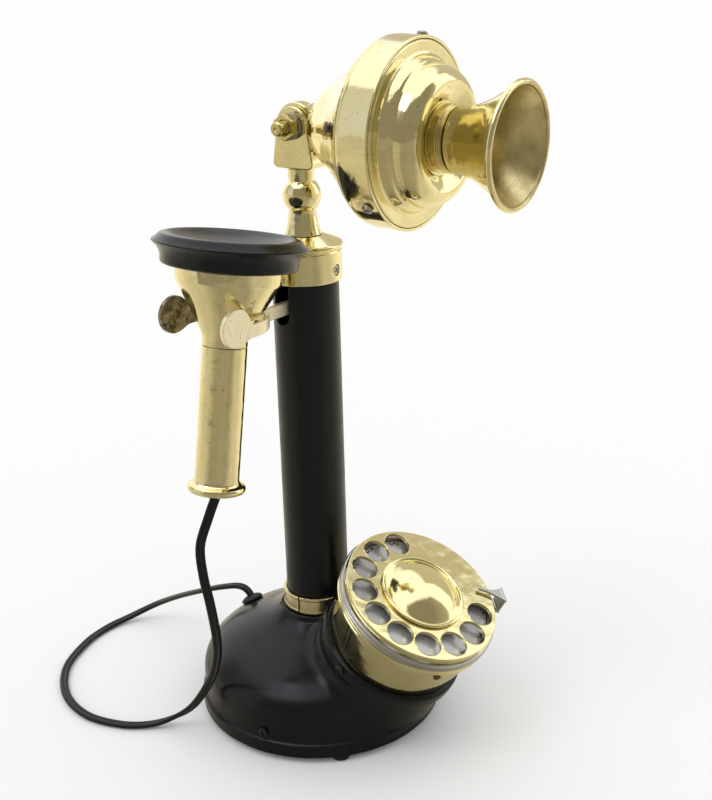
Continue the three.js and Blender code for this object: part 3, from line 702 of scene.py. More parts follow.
BRASS = polished_brass("polished_brass")
WORN_SHADED_BRASS = rubbed_shaded_brass("worn_shaded_brass")
DIAL_BRASS = polished_brass("dial_brass", waves=0.012, wear=0.3, tint=(0.83, 0.75, 0.42), gloss=0.07)
HORN_BRASS = turned_brass("turned_brass")
OLD_BRASS = polished_brass("old_brass", waves=0.02, wear=0.3, tint=(0.64, 0.56, 0.40), gloss=0.26)
DULL_BRASS = polished_brass("dull_brass", 0.01, 0.6, (0.60, 0.51, 0.22), WARM_BRASS, gloss=0.2)
NICKEL = worn_nickel("worn_nickel", tone=0.6, streaks=0.75)
BRIGHT_NICKEL = worn_nickel("bright_nickel", tone=0.52, streaks=0.5, gloss=0.16)
PAINT = satin_paint("satin_paint")
TUBE_PAINT = satin_paint("tube_paint", tone=0.0035, gloss=0.24)
EAR_RUBBER = chalky_rubber_with_edge_highlight("ear_rubber")
BLACK_RUBBER = chalky_rubber_with_edge_highlight("black_rubber", tone=0.005, chalk=0.15, gloss=0.4)
SCREW_STEEL = plain_finish("screw_steel", (0.20, 0.18, 0.15), 1, 0.32)
BRIGHT_SCREW = plain_finish("bright_screw", (0.62, 0.60, 0.55), 1, 0.25)
BLACK_SCREW = plain_finish("black_screw", (0.02, 0.02, 0.02), 0.4, 0.3)
PLATE = number_plate_finish()
CORD_COVER = cord_finish()

# ---- Screws, made with a head of radius 1 ----
SHANK = 4 / 2.7
SLOT_WIDE = 0.12
SLOT_FLOOR = 0.325


def screw_mesh(name, material, slots, slot_half):
    """A domed head with slots at the given angles, over a thin shank."""
    def field(p):
        dome = np.linalg.norm(p - (0, 0, -1.1), axis=1) - 1.75
        body = np.maximum(field_rod(p, 1, 0, 0.8, 0.08), dome)
        for angle in slots:
            q = seen_from(about("Z", angle), p)
            cut = field_box(q, (-slot_half, -SLOT_WIDE, SLOT_FLOOR), (slot_half, SLOT_WIDE, 2))
            body = without(body, cut, 0.03)
        return united(body, field_rod(p, 0.42, -SHANK, 0.1), 0.02)
    mesh = solid(name, field, (-1.1, -1.1, -SHANK - 0.1), (1.1, 1.1, 0.9), 0.055)
    mesh.materials.append(material)
    return mesh


CROSS = ((0.4, 0.4 + pi / 2), 0.62)
BLACK_CROSS = screw_mesh("black_cross", BLACK_SCREW, *CROSS)
BRIGHT_CROSS = screw_mesh("bright_cross", BRIGHT_SCREW, *CROSS)
STEEL_SLOTTED = screw_mesh("steel_slotted", SCREW_STEEL, (0.7,), 1.3)


def screw(node, where, place, direction, mesh, radius=2.7):
    seat = pointing(place, direction) @ moved((0, 0, GAP))
    piece(node, mesh, where @ seat @ Matrix.Scale(radius, 4))


def screws_round(name, where, circle_r, height, degrees, mesh, radius=2.7, rise=0):
    """Screws that point outwards from a circle, and up by their rise."""
    for i, angle in enumerate(map(radians, degrees)):
        place = on_circle(circle_r, angle, height)
        screw(f"{name}_{i + 1}", where, place, on_circle(1, angle, rise), mesh, radius)


# ---- Base ----
BELL = [(68.5, 14), (67.2, 30.5), (57.8, 41.2), (43.5, 48.9), (31, 54.6), (23.8, 59.6), (21.8, 62.2)]
BELL = curve(BELL, 12)
BASE_LOW = 3.7
GROMMET_AT = (0, 54.3, 43.2)
GROMMET_TO = (0, 0.49, 0.87)


def base_field(p):
    flat = np.hypot(p[:, 0], p[:, 1])
    side = np.stack([flat, p[:, 2]], axis=1)
    rim = [(68.9, BASE_LOW), (69.6, BASE_LOW), (RIM_R, 4.1), (RIM_R, 10.8), (69.4, 11.5), (68.6, 11.9)]
    past_axis = -20
    outline = [(past_axis, BASE_LOW), *rim, *BELL, (21.4, HUB_TOP), (past_axis, HUB_TOP)]
    bell = field_polygon(side, outline)
    q = seen_from(DIAL_IN_PHONE, p)
    socket = field_rod(q, SOCKET_R, SOCKET_DEEP, FOOT_S - 2.4, 0.4)
    socket = np.maximum(socket, RIM_TOP + 0.6 - p[:, 2])
    lip = field_rod(q, SOCKET_R + LIP, FOOT_S - 9, FOOT_S - 0.5, 2)
    outer = united(united(bell, socket, 7), lip, 2)
    hollow = np.maximum(outer + WALL, p[:, 2] - HUB_TOP + WALL)
    body = without(outer, hollow)
    body = without(body, field_rod(q, SOCKET_R - 2.4, -60, 5))
    body = without(body, np.maximum(flat - COLLAR_R - 0.6, HUB_TOP - p[:, 2]), 0.5)
    body = without(body, flat - TUBE_R - GAP)
    grommet = seen_from(pointing(GROMMET_AT, GROMMET_TO), p)
    return without(body, field_rod(grommet, 4.6, -8, 8), 0.6)


def build_base():
    mesh = solid("base_shell", base_field, (-72, -92, 2), (72, 72, 80), 1)
    piece("base_shell", mesh, PHONE, PAINT)
    foot = [(0, 0), (3.6, 0), (5, 0.9), (5.4, 2.2), (5.4, 3.4), (1.6, 3.4), (1.6, 4.8), (0, 4.8)]
    for i, degrees in enumerate((-130, -40, 50, 140)):
        at = PHONE @ moved(on_circle(FEET_R, radians(degrees)))
        spun(f"foot_{i + 1}", foot, at, BLACK_RUBBER, 40)
    screws_round("base_screw", PHONE, 68.5, 16, (-166.5, -46.5, 73.5), BLACK_CROSS)
    screws_round("socket_screw", DIAL, SOCKET_R + LIP, FOOT_S - 4.4, (175, 355), BLACK_CROSS)
    grommet = [
        (3, -4.2), (5.8, -4.2), (5.8, -2.9), (4.3, -2.9), (4.3, GAP), (6.4, GAP), (6.8, 1.1), (6, 2.2),
        (4.2, 3.2), (3.2, 3.4), (3, 2.6), (3, -4.2),
    ]
    spun("cord_grommet", grommet, PHONE @ pointing(GROMMET_AT, GROMMET_TO), BLACK_RUBBER, 48, 0.5)


# ---- Cuts ----
SHARP_ABOVE = radians(30)


def tube_faces(rings, count):
    """The faces of a closed tube whose rings have count points each."""
    faces = []
    for i in range(rings - 1):
        for k in range(count):
            a, b = i * count + k, i * count + (k + 1) % count
            faces.append([a, b, b + count, a + count])
    last = (rings - 1) * count
    return [*faces, list(range(count))[::-1], [last + k for k in range(count)]]


def prism(name, outline, low, high):
    """An outline in Y and Z given length along X, as a tool to cut with."""
    points = [(x, *point) for x in (low, high) for point in outline]
    mesh = mesh_of(name, points, tube_faces(2, len(outline)))
    work = bmesh.new()
    work.from_mesh(mesh)
    bmesh.ops.recalc_face_normals(work, faces=work.faces)
    work.to_mesh(mesh)
    work.free()
    return mesh


def rectangle(low, high):
    return [(low[0], low[1]), (high[0], low[1]), (high[0], high[1]), (low[0], high[1])]


def cut_with(thing, mesh, where):
    """Cuts a mesh out of a piece and keeps the result."""
    tool = placed("tool", mesh, where)
    cut = thing.modifiers.new("cut", "BOOLEAN")
    cut.object = tool
    cut.solver = "EXACT"
    cut.use_self = True
    bpy.context.view_layer.update()
    evaluated = thing.evaluated_get(bpy.context.evaluated_depsgraph_get())
    result = bpy.data.meshes.new_from_object(evaluated)
    thing.modifiers.clear()
    thing.data = result
    bpy.data.objects.remove(tool)
    result.set_sharp_from_angle(angle=SHARP_ABOVE)
    flat = thing.modifiers.new("flat_faces_flat", "WEIGHTED_NORMAL")
    flat.keep_sharp = True
    flat.weight = 50


# ---- Column ----
def build_column():
    tube = ring_profile(TUBE_BORE_R, TUBE_R, TUBE_LOW, TUBE_TOP)
    tube = spun("column_tube", tube, PHONE, TUBE_PAINT, 128)
    low_end = arc((0, SLOT_LOW), SLOT_HALF, 0, -180, 20)
    slot = prism("slot", [(SLOT_HALF, SLOT_TOP), *low_end, (-SLOT_HALF, SLOT_TOP)], -25, -5)
    cut_with(tube, slot, PHONE @ about("Z", SLOT_TURN))

    inner = TUBE_R + GAP
    low = HUB_TOP + GAP
    collar = [
        (inner, low), (COLLAR_R - 0.2, low), (COLLAR_R, HUB_TOP + 0.8), (COLLAR_R, 65),
        (COLLAR_R - 0.25, 65.3), (COLLAR_R - 0.25, 71.6), (COLLAR_R, 71.9), (COLLAR_R, 72.8),
        (COLLAR_R - 0.3, COLLAR_TOP), (inner, COLLAR_TOP), (inner, low),
    ]
    ring = spun("column_collar", collar, PHONE, OLD_BRASS, 128, 0.2)
    cut_with(ring, prism("slit", rectangle((-2.9, 60), (-1.9, 80)), -26, -14), PHONE)

    profile = [
        (inner, CAP_LOW), (19.2, CAP_LOW), (19.6, 255.7), (19.6, 270.9), (19.2, 271.5), (19.6, 272.1),
        (20.2, 272.7), (20.4, 273.5), (20.2, 274.4), (19.3, 275.2), (9.9, CAP_TOP), (6.3, CAP_TOP),
        (6.3, 276.3), (16.5, 272.6), (inner, 270.6), (inner, CAP_LOW),
    ]
    cap = spun("column_cap", profile, PHONE, BRASS, 128, 0.3)
    seat = on_circle(TUBE_R, SET_SCREW_ANGLE, SET_SCREW_Z)
    outwards = on_circle(1, SET_SCREW_ANGLE)
    hole = turned("hole", disc_profile(3.1, -2, 6), 40, 0.01)
    cut_with(cap, hole, PHONE @ pointing(seat, outwards))
    screw("cap_set_screw", PHONE, seat, outwards, BRIGHT_CROSS, 2.9)


def build_stem():
    flare = curve([(9.4, CAP_TOP + GAP), (8.6, 282), (7.9, 285.5), (7.2, 290.2), (7.05, 291.95)], 6)
    ball = arc((0, BALL_Z), BALL_R, -44.8, 49.5, 28)
    stem = [
        (0, 268), (5.9, 268), (5.9, CAP_TOP + GAP), *flare, *ball, (6.5, 306.9), (6.7, 309), (6.9, STEM_TOP),
        (3.5, STEM_TOP), (3.5, 318), (0, 318),
    ]
    spun("stem", stem, PHONE, BRASS, 96, 0.2)


# ---- Yoke and pivot ----
def yoke_field(p):
    right = [(10.2, YOKE_LOW), (12.1, YOKE_LOW + 1.2), (12.4, YOKE_LOW + 3), (9.2, 0.4)]
    left = [(-y, z) for y, z in right[2::-1]]
    outline = [*right, *arc((0, 0.6), 9.2, 4, 176, 20), *left]
    flat = field_polygon(np.stack([-p[:, 1], p[:, 2]], axis=1), outline)
    body = field_between(flat, p[:, 0], -CHEEK_OUT, CHEEK_OUT, 0.6)
    body = without(body, field_box(p, (-CHEEK_IN, -40, YOKE_FLOOR), (CHEEK_IN, 40, 40), 0.4), 0.3)
    body = without(body, field_rod(p[:, [1, 2, 0]], BOLT_R + GAP, -20, 20), 0.3)
    return without(body, field_rod(p, 3.8, YOKE_LOW - 2, YOKE_LOW + 5.6), 0.2)


def nut_field(p):
    hexagon = arc((0, 0), 6.8, 0, 300, 5)
    body = field_between(field_polygon(p[:, :2], hexagon), p[:, 2], -13.6, -9, 0.2)
    cone = np.hypot(p[:, 0], p[:, 1]) * 0.87 + np.abs(p[:, 2] + 11.3) * 0.5 - 6.75
    return without(np.maximum(body, cone), field_rod(p, BOLT_R + GAP, -20, 0), 0.3)


def build_yoke():
    piece("yoke", solid("yoke", yoke_field, (-8, -14, -23), (8, 14, 11), 0.4), HEAD, BRASS)
    bolt = [
        (0, -19.1), (0.7, -19.2), (1, -19.6), (2.9, -19.5), (3.5, -19), (BOLT_R, -18.4), (BOLT_R, -14.6),
        (3.4, -14.3), (3.4, -13.9), (BOLT_R, -13.6), (BOLT_R, CHEEK_OUT + GAP), (5.6, CHEEK_OUT + GAP),
        (5.6, 9.2), (5, 10.4), (3.6, 11), (0, 11.2),
    ]
    spun("pivot_bolt", bolt, PIVOT, DULL_BRASS, 64, 0.25)
    washer = ring_profile(BOLT_R + GAP, 6.7, -8.7, -CHEEK_OUT - GAP)
    spun("pivot_washer", washer, PIVOT, BRIGHT_NICKEL, 64, 0.25)
    nut = solid("nut", nut_field, (-7.2, -7.2, -14.2), (7.2, 7.2, -8.4), 0.3)
    piece("pivot_nut", nut, PIVOT, DULL_BRASS)


# ---- Transmitter ----
def lug_field(p):
    """A plate across the transmitter's X, round about the hinge."""
    outline = arc((0, 0), 11.5, 60, 300, 40) + [(15.6, -12.3 + CASE_RISE), (15.6, 12.3 + CASE_RISE)]
    q = np.stack([p[:, 2], p[:, 1] + CASE_RISE, p[:, 0]], axis=1)
    body = field_between(field_polygon(q[:, :2], outline), p[:, 0], -3.7, 3.7, 0.8)
    return without(body, field_rod(q, BOLT_R + GAP, -20, 20), 0.3)


def build_rear_cup():
    cup = curve([(13, CUP_BACK), (20, 22), (25.4, 30.5), (31.5, 38.5), (38, 46), (43, DRUM_BACK - 1.5)], 8)
    walls = inset(cup, 1.5)
    profile = [(0, CUP_BACK), (12.4, CUP_BACK), *cup, *reversed(walls[1:]), (11, 17.5), (0, 17.5)]
    spun("rear_cup", profile, CASE, BRASS, 128)
    lug = solid("lug", lug_field, (-4.6, -14, -12.5), (4.6, 13, 16.6), 0.45)
    piece("rear_lug", lug, CASE, BRASS, "rear_cup")
    screw("cup_screw", CASE, on_circle(34.6, pi * 0.95, 42), (-0.78, 0.12, -0.6), STEEL_SLOTTED, 2.6)


def build_transmitter():
    build_rear_cup()
    edge = DRUM_R - 1.5
    drum = [
        *above(DRUM_BACK, [(42.6, 0), (43.8, 0.2), (44.7, 0.9), (45.3, 2.2), (DRUM_R, 5)]),
        (DRUM_R, DRUM_FRONT - 0.3), (DRUM_R - 0.3, DRUM_FRONT), (edge, DRUM_FRONT),
        *above(DRUM_BACK, [(edge, 3), (42.2, 1.6), (42.6, 0)]),
    ]
    spun("transmitter_case", drum, CASE, BRASS, 160, 0.25)
    screws_round("case_screw", CASE, DRUM_R, 65.3, (78, 219.4, 339.4), BRIGHT_CROSS)

    bowl = [(33.3, 8.2), (32.7, 11), (30.4, 14.8), (26.4, 16.8), (21.5, 15.4), (17.2, 12.4)]
    face = [
        *above(DRUM_FRONT, [
            (43.8, -5), (43.8, -0.1), (43.2, 0.5), (42.2, 0.5), (38.4, 0.1), (37.1, 0.5), (36.4, 1.6),
            (35.9, 3.2), (35, 4.6), (34.2, 5.2), (33.5, 6.4),
        ]),
        *curve(above(DRUM_FRONT, bowl), 10), (12.6, DRUM_FRONT + 12.2),
    ]
    spun("transmitter_face", shell_profile(face, 1.3), CASE, BRASS, 160, 0.3)

    collar = above(NECK, [
        (12.6, 0), (16, 0), (16, 5.2), (15.5, 5.6), (16, 6), (15.4, 6.5), (16, 7), (15.6, 7.5), (16.1, 8),
        (15.7, 8.3), (12.6, 8.3), (12.6, 0),
    ])
    spun("mouthpiece_collar", collar, CASE, DULL_BRASS, 96, 0.2)
    build_mouthpiece()


def build_mouthpiece():
    """Polished outside, and turned inside with a perforated plate at its bottom."""
    horn = above(NECK, [(15.6, 9.4), (15.7, 12), (16.4, 16), (17.9, 20.5), (20.3, 26), (23.7, 31.8)])
    horn = curve([*horn, (28.4, MOUTH_FRONT - 2)], 8)
    lip = arc((28.6, MOUTH_FRONT - 1.4), 1.5, -50, 150, 12)
    inner = list(reversed(inset(horn, 1.4)))
    foot = above(NECK, [(14.2, 8.6), (15, 8.6)])
    mesh = turned("horn", [*foot, *horn, *lip, *inner[:-1], (13.4, NECK + 11), foot[0]], 128, 0.3)
    mesh.materials.append(BRASS)
    mesh.materials.append(HORN_BRASS)
    for face in mesh.polygons:
        facing_axis = face.normal.x * face.center.x + face.normal.y * face.center.y < 0
        face.material_index = int(facing_axis)
    piece("mouthpiece", mesh, CASE)
    holes = [Vector((0, 0))] + [on_circle(7, radians(60 * i)).to_2d() for i in range(6)]
    grille = perforated("grille", 13.3, holes, 1.6, NECK + 8.9, NECK + 10.4, 0.1)
    piece("mouthpiece_grille", grille, CASE, DULL_BRASS, "mouthpiece")


# ---- Plates with round holes ----
HOLE_LIP = 0.52  # how far out the rounded edge of a hole begins


def perforated(name, radius, holes, hole_r, low, high, bead, bore=None, steps=128, hole_steps=40):
    """A round plate with holes whose edges are rounded over and stand a little proud."""
    points, normals, faces = [], [], []

    def edge(centre, profile, count):
        """Joins rings down a profile of (radius, height). Gives back the first and the last."""
        line = [Vector(p) for p in profile]
        rings = []
        for i, p in enumerate(line):
            run = (line[min(i + 1, len(line) - 1)] - line[max(i - 1, 0)]).normalized()
            normal = (run.y, -run.x)
            if i in (0, len(line) - 1):
                normal = (0, 1 if p.y > (low + high) / 2 else -1)
            rings.append(list(range(len(points), len(points) + count)))
            for angle in (2 * pi * k / count for k in range(count)):
                points.append(Vector((*centre, p.y)) + on_circle(p.x, angle))
                normals.append(on_circle(normal[0], angle, normal[1]).normalized())
        for a, b in zip(rings, rings[1:]):
            for i in range(count):
                j = (i + 1) % count
                faces.append([a[i], a[j], b[j], b[i]])
        return rings[0], rings[-1]

    def cap(loops, upward):
        order = [i for loop in loops for i in loop]
        for triangle in tessellate_polygon([[points[i] for i in loop] for loop in loops]):
            corners = [order[i] for i in triangle]
            a, b, c = (points[i] for i in corners)
            up = (b - a).cross(c - a).z > 0
            faces.append(corners if up == upward else corners[::-1])

    r = min(0.6, (high - low) * 0.3)
    corner_low = arc((radius - r, low + r), r, -80, 0, 4)
    corner_high = arc((radius - r, high - r), r, 0, 80, 4)
    rim = edge((0, 0), [(radius - r, low), *corner_low, *corner_high, (radius - r, high)], steps)
    lip = ((1, 0), (0.85, 0.25), (0.6, 0.9), (0.38, 1), (0.15, 0.6))
    hole = [(hole_r + HOLE_LIP * out, high + bead * up) for out, up in lip]
    hole += [(hole_r, high - 0.25), (hole_r, low + 0.2), (hole_r + 0.2, low)]
    edges = [edge(centre, hole, hole_steps) for centre in holes]
    if bore:
        edges.append(edge((0, 0), [(bore, high), (bore, (low + high) / 2), (bore, low)], hole_steps))
    cap([rim[1], *(top for top, _ in edges)], True)
    cap([rim[0], *(bottom for _, bottom in edges)], False)
    return mesh_of(name, points, faces, normals)


# ---- Dial ----
SEAM_LOW = 8.5
SEAMS = ((164, 8.5), (168.4, 6.5))  # two short saw cuts in the housing: angle in degrees, length


def build_housing():
    profile = [
        (HOUSING_R - 1.5, FOOT_S), (HOUSING_R - 0.2, FOOT_S), (HOUSING_R + 0.1, FOOT_S + 0.6), (42.9, -13.6),
        (42.6, -13.1), (43.3, -12.6), (44, -12.1), (44.2, -11.6), (43.7, -11.1), (43.6, -10.8),
        (44.2, -10.3), (44.3, -9.7), (43.9, -9.1), (43.3, -8.9), (41.9, -8.9), (41.5, -12.6),
        (HOUSING_R - 1.5, FOOT_S),
    ]
    wall = spun("dial_housing", profile, DIAL, DIAL_BRASS, 160, 0.2)
    for degrees, length in SEAMS:
        angle = radians(degrees)
        place = moved(on_circle(41.6, angle, -22)) @ about("Z", angle)
        seam = prism("seam", rectangle((-0.3, -SEAM_LOW), (0.3, length)), -3, 0.95)
        cut_with(wall, seam, DIAL @ place @ about("Y", radians(10.7)))
    circle_r = 43.1 - HOUSING_LEAN * 2.4
    screws_round("housing_screw", DIAL, circle_r, -15, (-120, -60, 90), STEEL_SLOTTED, 2, -HOUSING_LEAN)


def build_dial():
    build_housing()
    ring = [
        (40.4, -8.6), (43.4, -8.6), (44.3, -8.2), (44.7, -7.6), (44.7, -7), (44, -6.6), (44, -6.3),
        (44.7, -5.9), (44.7, -4.9), (44.1, -4.1), (43.2, -4), (40.4, -4), (40.4, -8.6),
    ]
    spun("dial_ring", ring, DIAL, NICKEL, 160, 0.2)
    plate = ring_profile(7, 40, -6, -4.8)
    spun("number_plate", plate, DIAL, PLATE, 128)

    holes = [on_circle(HOLE_CIRCLE_R, angle).to_2d() for angle in HOLES]
    wheel = perforated("finger_wheel", WHEEL_R - 0.2, holes, HOLE_R, -1.8, 0, 0.35, 5.3, 192, 56)
    piece("finger_wheel", wheel, DIAL, DIAL_BRASS)
    flange = [(41.2, -1.9), (42, -3.1), (42.8, -3.3), (43.4, -2.8), (43.5, -2.2), (43, -1.9), (41.2, -1.9)]
    spun("finger_wheel_flange", flange, DIAL, DIAL_BRASS, 160, 0.15, "finger_wheel")

    dome = [
        (0, GAP), (23.1, GAP), (23.6, 0.6), (23.8, 1.1), (23.5, 1.7), (22.8, 2), (22.1, 1.7), (21.6, 1.2),
        (20.9, 1.4), *arc((0, -22.9), 31.6, 50.5, 90, 18)[1:-1], (0, 8.7),
    ]
    spun("dial_centre_cap", dome, DIAL, DIAL_BRASS, 128, 0.2)
    stop = solid("finger_stop", stop_field, (33.5, -5.5, -9), (51.5, 6, 3.4), 0.3)
    piece("finger_stop", stop, DIAL @ about("Z", STOP_ANGLE), BRIGHT_NICKEL)


def stop_field(p):
    """A claw over the wheel, on a wall that stands beside the ring."""
    outside = STOP_R + 1.2
    upper = curve([(outside, STOP_HALF), (46.5, 3.4), (42.5, 2.9), (38.8, 3.6), (36.2, 4.9)], 4)
    tip = arc((35.9, 3.9), 1.05, 80, 250, 6)
    lower = curve([(36.2, 2.7), (39.5, 1.6), (43.5, -0.5), (47.5, -3.1), (outside, -STOP_HALF)], 4)
    claw = field_between(field_polygon(p[:, :2], [*upper, *tip, *lower]), p[:, 2], 1.2, 2.5, 0.3)
    wall = field_box(p, (STOP_R, -STOP_HALF, -8.1), (outside, STOP_HALF, 2.5), 0.3)
    foot = field_box(p, (44.9, -STOP_HALF, -8.1), (outside, STOP_HALF, -6.8), 0.3)
    return united(united(claw, wall, 0.8), foot, 0.8)


# ---- Receiver ----
def build_receiver():
    handle = [
        (BORE_R, 0), (13.6, 0), (14.5, 0.5), (14.9, 1.5), (14.9, 2.5), (14.4, 3.5), (13.4, 4), (12.5, 4.4),
        (11.8, 5.2), (HANDLE_R, 6.8), (HANDLE_R, HANDLE_TOP), (BORE_R, HANDLE_TOP), (BORE_R, 0),
    ]
    spun("receiver_handle", handle, RECEIVER, BRASS, 96, 0.2)
    bushing = ring_profile(2.9, 8.8, 0.8, 3.8)
    spun("receiver_bushing", bushing, RECEIVER, BLACK_RUBBER, 64, 0.5, "receiver_handle")
    cone = curve([(HANDLE_R, HANDLE_TOP + GAP), (11.8, 79.8), (14.3, 85.7), (20, 96.1), (25.7, 106.3)], 10)
    bell = shell_profile([*cone, (26.2, 107.1), (26.4, 108), (26.4, 113.7)], 1.4)
    spun("receiver_bell", bell, RECEIVER, BRASS, 128, 0.3)
    cap = [
        (27, EAR_LOW), (32.6, EAR_LOW), (33.5, 115.1), (33.8, 116), (33.9, 118.6), (34.5, 120.6),
        (35.9, 122.8), (37.7, 124.5), (38.4, 125.2), (38.4, 125.7), (37.4, 126.4), (36, 127.5),
        (35, 128.7), (34, 129.3), (32.4, 129.6), (30.8, 129.5), (28.8, 128.7), (25, 127), (16, 125.7),
        (5.4, 125.2), (EAR_HOLE_R, 124.8), (EAR_HOLE_R, 122.7), (25, 123.6), (31.5, 124.4), (31.5, 116.3),
        (27, 116.3), (27, EAR_LOW),
    ]
    spun("receiver_cap", cap, RECEIVER, EAR_RUBBER, 160, 0.5)


# ---- Switch hook ----
def hook_field(p):
    """A strip bent to a U with a disc at each end, drawn as if laid out flat, on a straight arm."""
    x, y, z = p.T
    bent = x > FORK_X
    across = np.where(bent, np.hypot(x - FORK_X, y), np.abs(y)) - DISC_Y
    along = np.where(bent, FORK_X + DISC_Y * np.arctan2(x - FORK_X, np.abs(y)), x)
    coin = np.hypot(along - DISC_X, z - DISC_Z) - DISC_R
    strip = np.maximum(np.abs(z - FORK_Z) - 3.2, DISC_X - along)
    fork = field_between(united(coin, strip, 3), across, -FORK_PLATE / 2, FORK_PLATE / 2, 0.45)
    arm = field_box(p, (FORK_X + DISC_Y - 1, -1.5, HOOK_Z - 3.5), (13, 1.5, HOOK_Z + 3.5), 0.4)
    pin = np.stack([x - 6, z - HOOK_Z, y], axis=1)
    return without(united(fork, arm, 1.5), field_rod(pin, 1.8, -5, 5), 0.2)


def build_hook():
    mesh = solid("hook", hook_field, (-85, -24.5, 236), (15, 24.5, 261), 0.5)
    piece("hook_lever", mesh, PHONE, WORN_SHADED_BRASS)


# ---- Cord ----
HANGING = [
    (-73.6, -1.2, 170), (-74.6, -1.2, 164), (-75.8, -1.2, 158), (-80.5, 0.4, 147), (-87, 1, 133),
    (-89.6, -2.5, 118), (-89.6, -6, 103), (-84, -2.7, 79), (-77.2, 6.3, 58), (-71.5, 19.7, 36),
    (-73.4, 33, 16), (-79, 45, 6), (-88, 55, 2.4),
]
LYING = [
    (-98, 69, 2), (-104, 92, 2), (-98, 118, 2), (-80, 141, 2), (-55, 154, 2), (-34, 158, 2), (-16, 154, 4),
    (-5, 140, 13), (-4, 118, 26), (-6, 92, 40), (-4, 76, 47), (-1.5, 64, 50.5), (0, 57.6, 48.2), (0, 53, 41),
]
CORD_HALF_WIDTH = 2.55
CORD_HALF_DEPTH = 1.4
CORD_FACING = Vector((0.64, -0.77, 0))  # its broad side shows beside the receiver
CORD_STEPS = 14  # between two points of the path


def cord_section(steps=12):
    """Two round cores side by side, with a groove between them."""
    core = CORD_HALF_WIDTH - CORD_HALF_DEPTH
    turn = 180 - math.degrees(math.acos(core / CORD_HALF_DEPTH))
    right = arc((core, 0), CORD_HALF_DEPTH, -turn, turn, steps)
    left = arc((-core, 0), CORD_HALF_DEPTH, 180 - turn, 180 + turn, steps)
    return right + left[1:-1]


def lying_flat(tangent, last):
    """The section's long direction: kept from the last place, and drawn level where the cord lies."""
    kept = (last - tangent * last.dot(tangent)).normalized()
    level = tangent.cross(Vector((0, 0, 1)))
    weight = 0.12 * level.length**2
    if level.dot(kept) < 0:
        level = -level
    mixed = kept * (1 - weight) + level * weight
    return (mixed - tangent * mixed.dot(tangent)).normalized()


def swept(name, path, section):
    """A section carried along a path."""
    points = []
    across = CORD_FACING
    for i, at in enumerate(path):
        tangent = (path[min(i + 1, len(path) - 1)] - path[max(i - 1, 0)]).normalized()
        across = lying_flat(tangent, across)
        thick = tangent.cross(across)
        points += [at + across * x + thick * y for x, y in section]
    return mesh_of(name, points, tube_faces(len(path), len(section)))


def build_cord():
    """The cord in two lengths: one hangs between the receiver and the stand, the other lies still."""
    path = [Vector(p) for p in curve(HANGING + LYING, CORD_STEPS)]
    section = cord_section()
    whole = swept("whole_cord", path, section)
    count = len(section)
    parting = CORD_STEPS * (len(HANGING) - 1)
    lengths = (("receiver_cord", 0, parting), ("receiver_cord_lying", parting, len(path) - 1))
    for name, first, last in lengths:
        kept = whole.vertices[first * count : (last + 1) * count]
        points = [v.co.copy() for v in kept]
        normals = [v.normal.copy() for v in kept]
        length = mesh_of(name, points, tube_faces(last - first + 1, count), normals)
        length.materials.append(CORD_COVER)
        length.transform(PHONE)
        thing = placed(f"{name}_skin", length)
        if first == 0:
            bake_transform(thing)
        else:
            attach(thing, "stand")
        stands_for(thing, "receiver_cord")
    bpy.data.meshes.remove(whole)


# ---- The CAD nodes that stay ----
INNER_LOOKS = {  # for each material slot: colour, metallic, roughness
    "steel": ((0.45, 0.45, 0.44), 1, 0.3),
    "bakelite": ((0.06, 0.035, 0.022), 0, 0.4),
    "copper": ((0.62, 0.28, 0.13), 1, 0.3),
    "nickel": ((0.62, 0.62, 0.61), 1, 0.2),
    "black_paint": ((0.016, 0.016, 0.018), 0, 0.4),
    "black_rubber": ((0.02, 0.02, 0.02), 0, 0.7),
}
ALIKE = {
    "dark_brass": "brass", "dark_screw": "steel", "ear_rubber": "black_rubber", "cord_cover": "black_rubber",
}
WINDINGS = 4  # the grain of copper wire, finer than the other pieces'


def finish_inner_nodes():
    brass = polished_brass("inner_brass", wear=0.6, second=WARM_BRASS, gloss=0.2, per_mm=CAD_UNIT)
    looks = {"brass": brass}
    for slot, look in INNER_LOOKS.items():
        looks[slot] = plain_finish(f"inner_{slot}", *look, CAD_UNIT, WINDINGS if slot == "copper" else 1.2)
    for name, node in frame["nodes"].items():
        node.data.materials.clear()
        node.data.materials.append(looks[ALIKE.get(SLOTS[name], SLOTS[name])])


# ---- Stage: what polished metal sees of the room differs from what the camera sees ----
WHITE = 0.98
WARMTH = (1, 0.92, 0.74)  # the tint of all that polished metal sees, but for the soft boxes
ROOM_TO_CAMERA = Vector((-0.72, -0.60, 0.35)).normalized()
ROOM_FAR = 0.66
ROOM_NEAR = 0.30
FLOOR_HALF = 30  # metres
FLOOR_GREY = 0.92
FLOOR_TO_CAMERA = (-0.77, -0.64, 0)
FLOOR_FAR = 1.05
FLOOR_GLOW = 0.62
FLOOR_DARK = 0.6  # of the glow, close to the camera
# Soft boxes that only polished surfaces see: (direction, half width, half height, brightness), in tangents.
BOXES = [
    ((0.05, 0.15, 1), 0.7, 0.7, 1.5),
    ((-0.75, 0.62, 0.30), 0.3, 0.8, 0.75),
    ((0.80, -0.50, 0.42), 0.21, 0.7, 1.5),
    ((0.35, 0.95, 0.25), 0.4, 0.6, 1.2),
]
SUN_STRENGTH = 0.35
SUN_ANGLE = radians(28)
SUN_TO = (0.55, -0.15, -0.85)
LENS = 54.39
CAMERA_AT = Vector((-458.8, -415.2, 417.8))
HEADING, PITCH, ROLL = (radians(a) for a in (50.165, -20.57, -1.52))


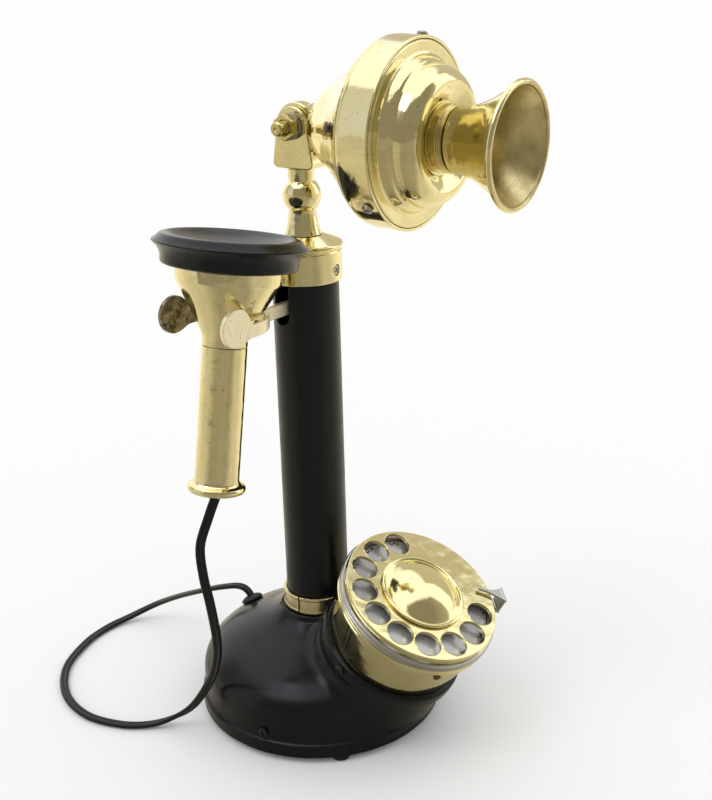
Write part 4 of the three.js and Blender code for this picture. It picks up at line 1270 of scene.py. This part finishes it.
def build_floor():
    made = Recipe("floor")
    way = made.add("VectorMath", {0: made.where}, operation="NORMALIZE").outputs[0]
    side = made.dot(way, FLOOR_TO_CAMERA)
    away = made.span(side, -0.6, 0.2, FLOOR_FAR, FLOOR_GLOW)
    shade = made.times(away, made.span(side, 0.45, 0.85, 1, FLOOR_DARK))
    tone = made.times(shade, made.following(made.noise(1.2, 2), 0.8, 1.15))
    colour = made.for_mirrors(FLOOR_GREY, [made.times(tone, share) for share in WARMTH])
    corners = rectangle((-FLOOR_HALF, -FLOOR_HALF), (FLOOR_HALF, FLOOR_HALF))
    floor = mesh_of("floor", [(x, y, 0) for x, y in corners], [[0, 1, 2, 3]])
    floor.materials.append(made.done(colour, 0.7, Specular_IOR_Level=0))
    placed("floor", floor, moved((0, 0, TABLE)))


def build_world():
    world = bpy.data.worlds.new("studio")
    SCENE.world = world
    world.use_nodes = True
    made = Nodes(world.node_tree)
    way = made.add("TexCoord").outputs["Generated"]
    glow = made.span(made.dot(way, ROOM_TO_CAMERA), -0.3, 0.5, ROOM_FAR, ROOM_NEAR)
    bright = 0
    for direction, wide, high, brightness in BOXES:
        centre = Vector(direction).normalized()
        across = centre.cross(Vector((0.01, 0.02, 1))).normalized()
        depth = made.maths("MAXIMUM", made.dot(way, centre), 0.01)
        x, y = (
            made.maths("ABSOLUTE", made.maths("DIVIDE", made.dot(way, axis), depth))
            for axis in (across, across.cross(centre))
        )
        lit = made.times(made.span(x, wide, wide * 1.5, 1, 0), made.span(y, high, high * 1.3, 1, 0))
        bright = made.maths("MAXIMUM", bright, made.times(lit, brightness))
    shares = [made.maths("MAXIMUM", made.times(glow, share), bright) for share in WARMTH]
    background = world.node_tree.nodes["Background"]
    made.fill(background.inputs["Color"], made.for_mirrors(WHITE, shares))
    background.inputs["Strength"].default_value = 1


def build_sun():
    sun = bpy.data.lights.new("key", "SUN")
    sun.energy = SUN_STRENGTH
    sun.angle = SUN_ANGLE
    placed("key", sun, Vector(SUN_TO).to_track_quat("-Z", "Y").to_matrix().to_4x4())


def build_camera():
    camera = bpy.data.cameras.new("camera")
    camera.lens = LENS
    camera.clip_start = 0.05
    camera.clip_end = 100
    look = about("Z", -HEADING) @ about("X", pi / 2 + PITCH) @ about("Z", ROLL)
    SCENE.camera = placed("camera", camera, moved(PHONE @ CAMERA_AT) @ look)
    SCENE.view_settings.view_transform = "Standard"


finish_inner_nodes()
for build in (
    build_base, build_column, build_stem, build_yoke, build_transmitter, build_receiver, build_hook,
    build_dial, build_cord, build_floor, build_world, build_sun, build_camera,
):
    build()
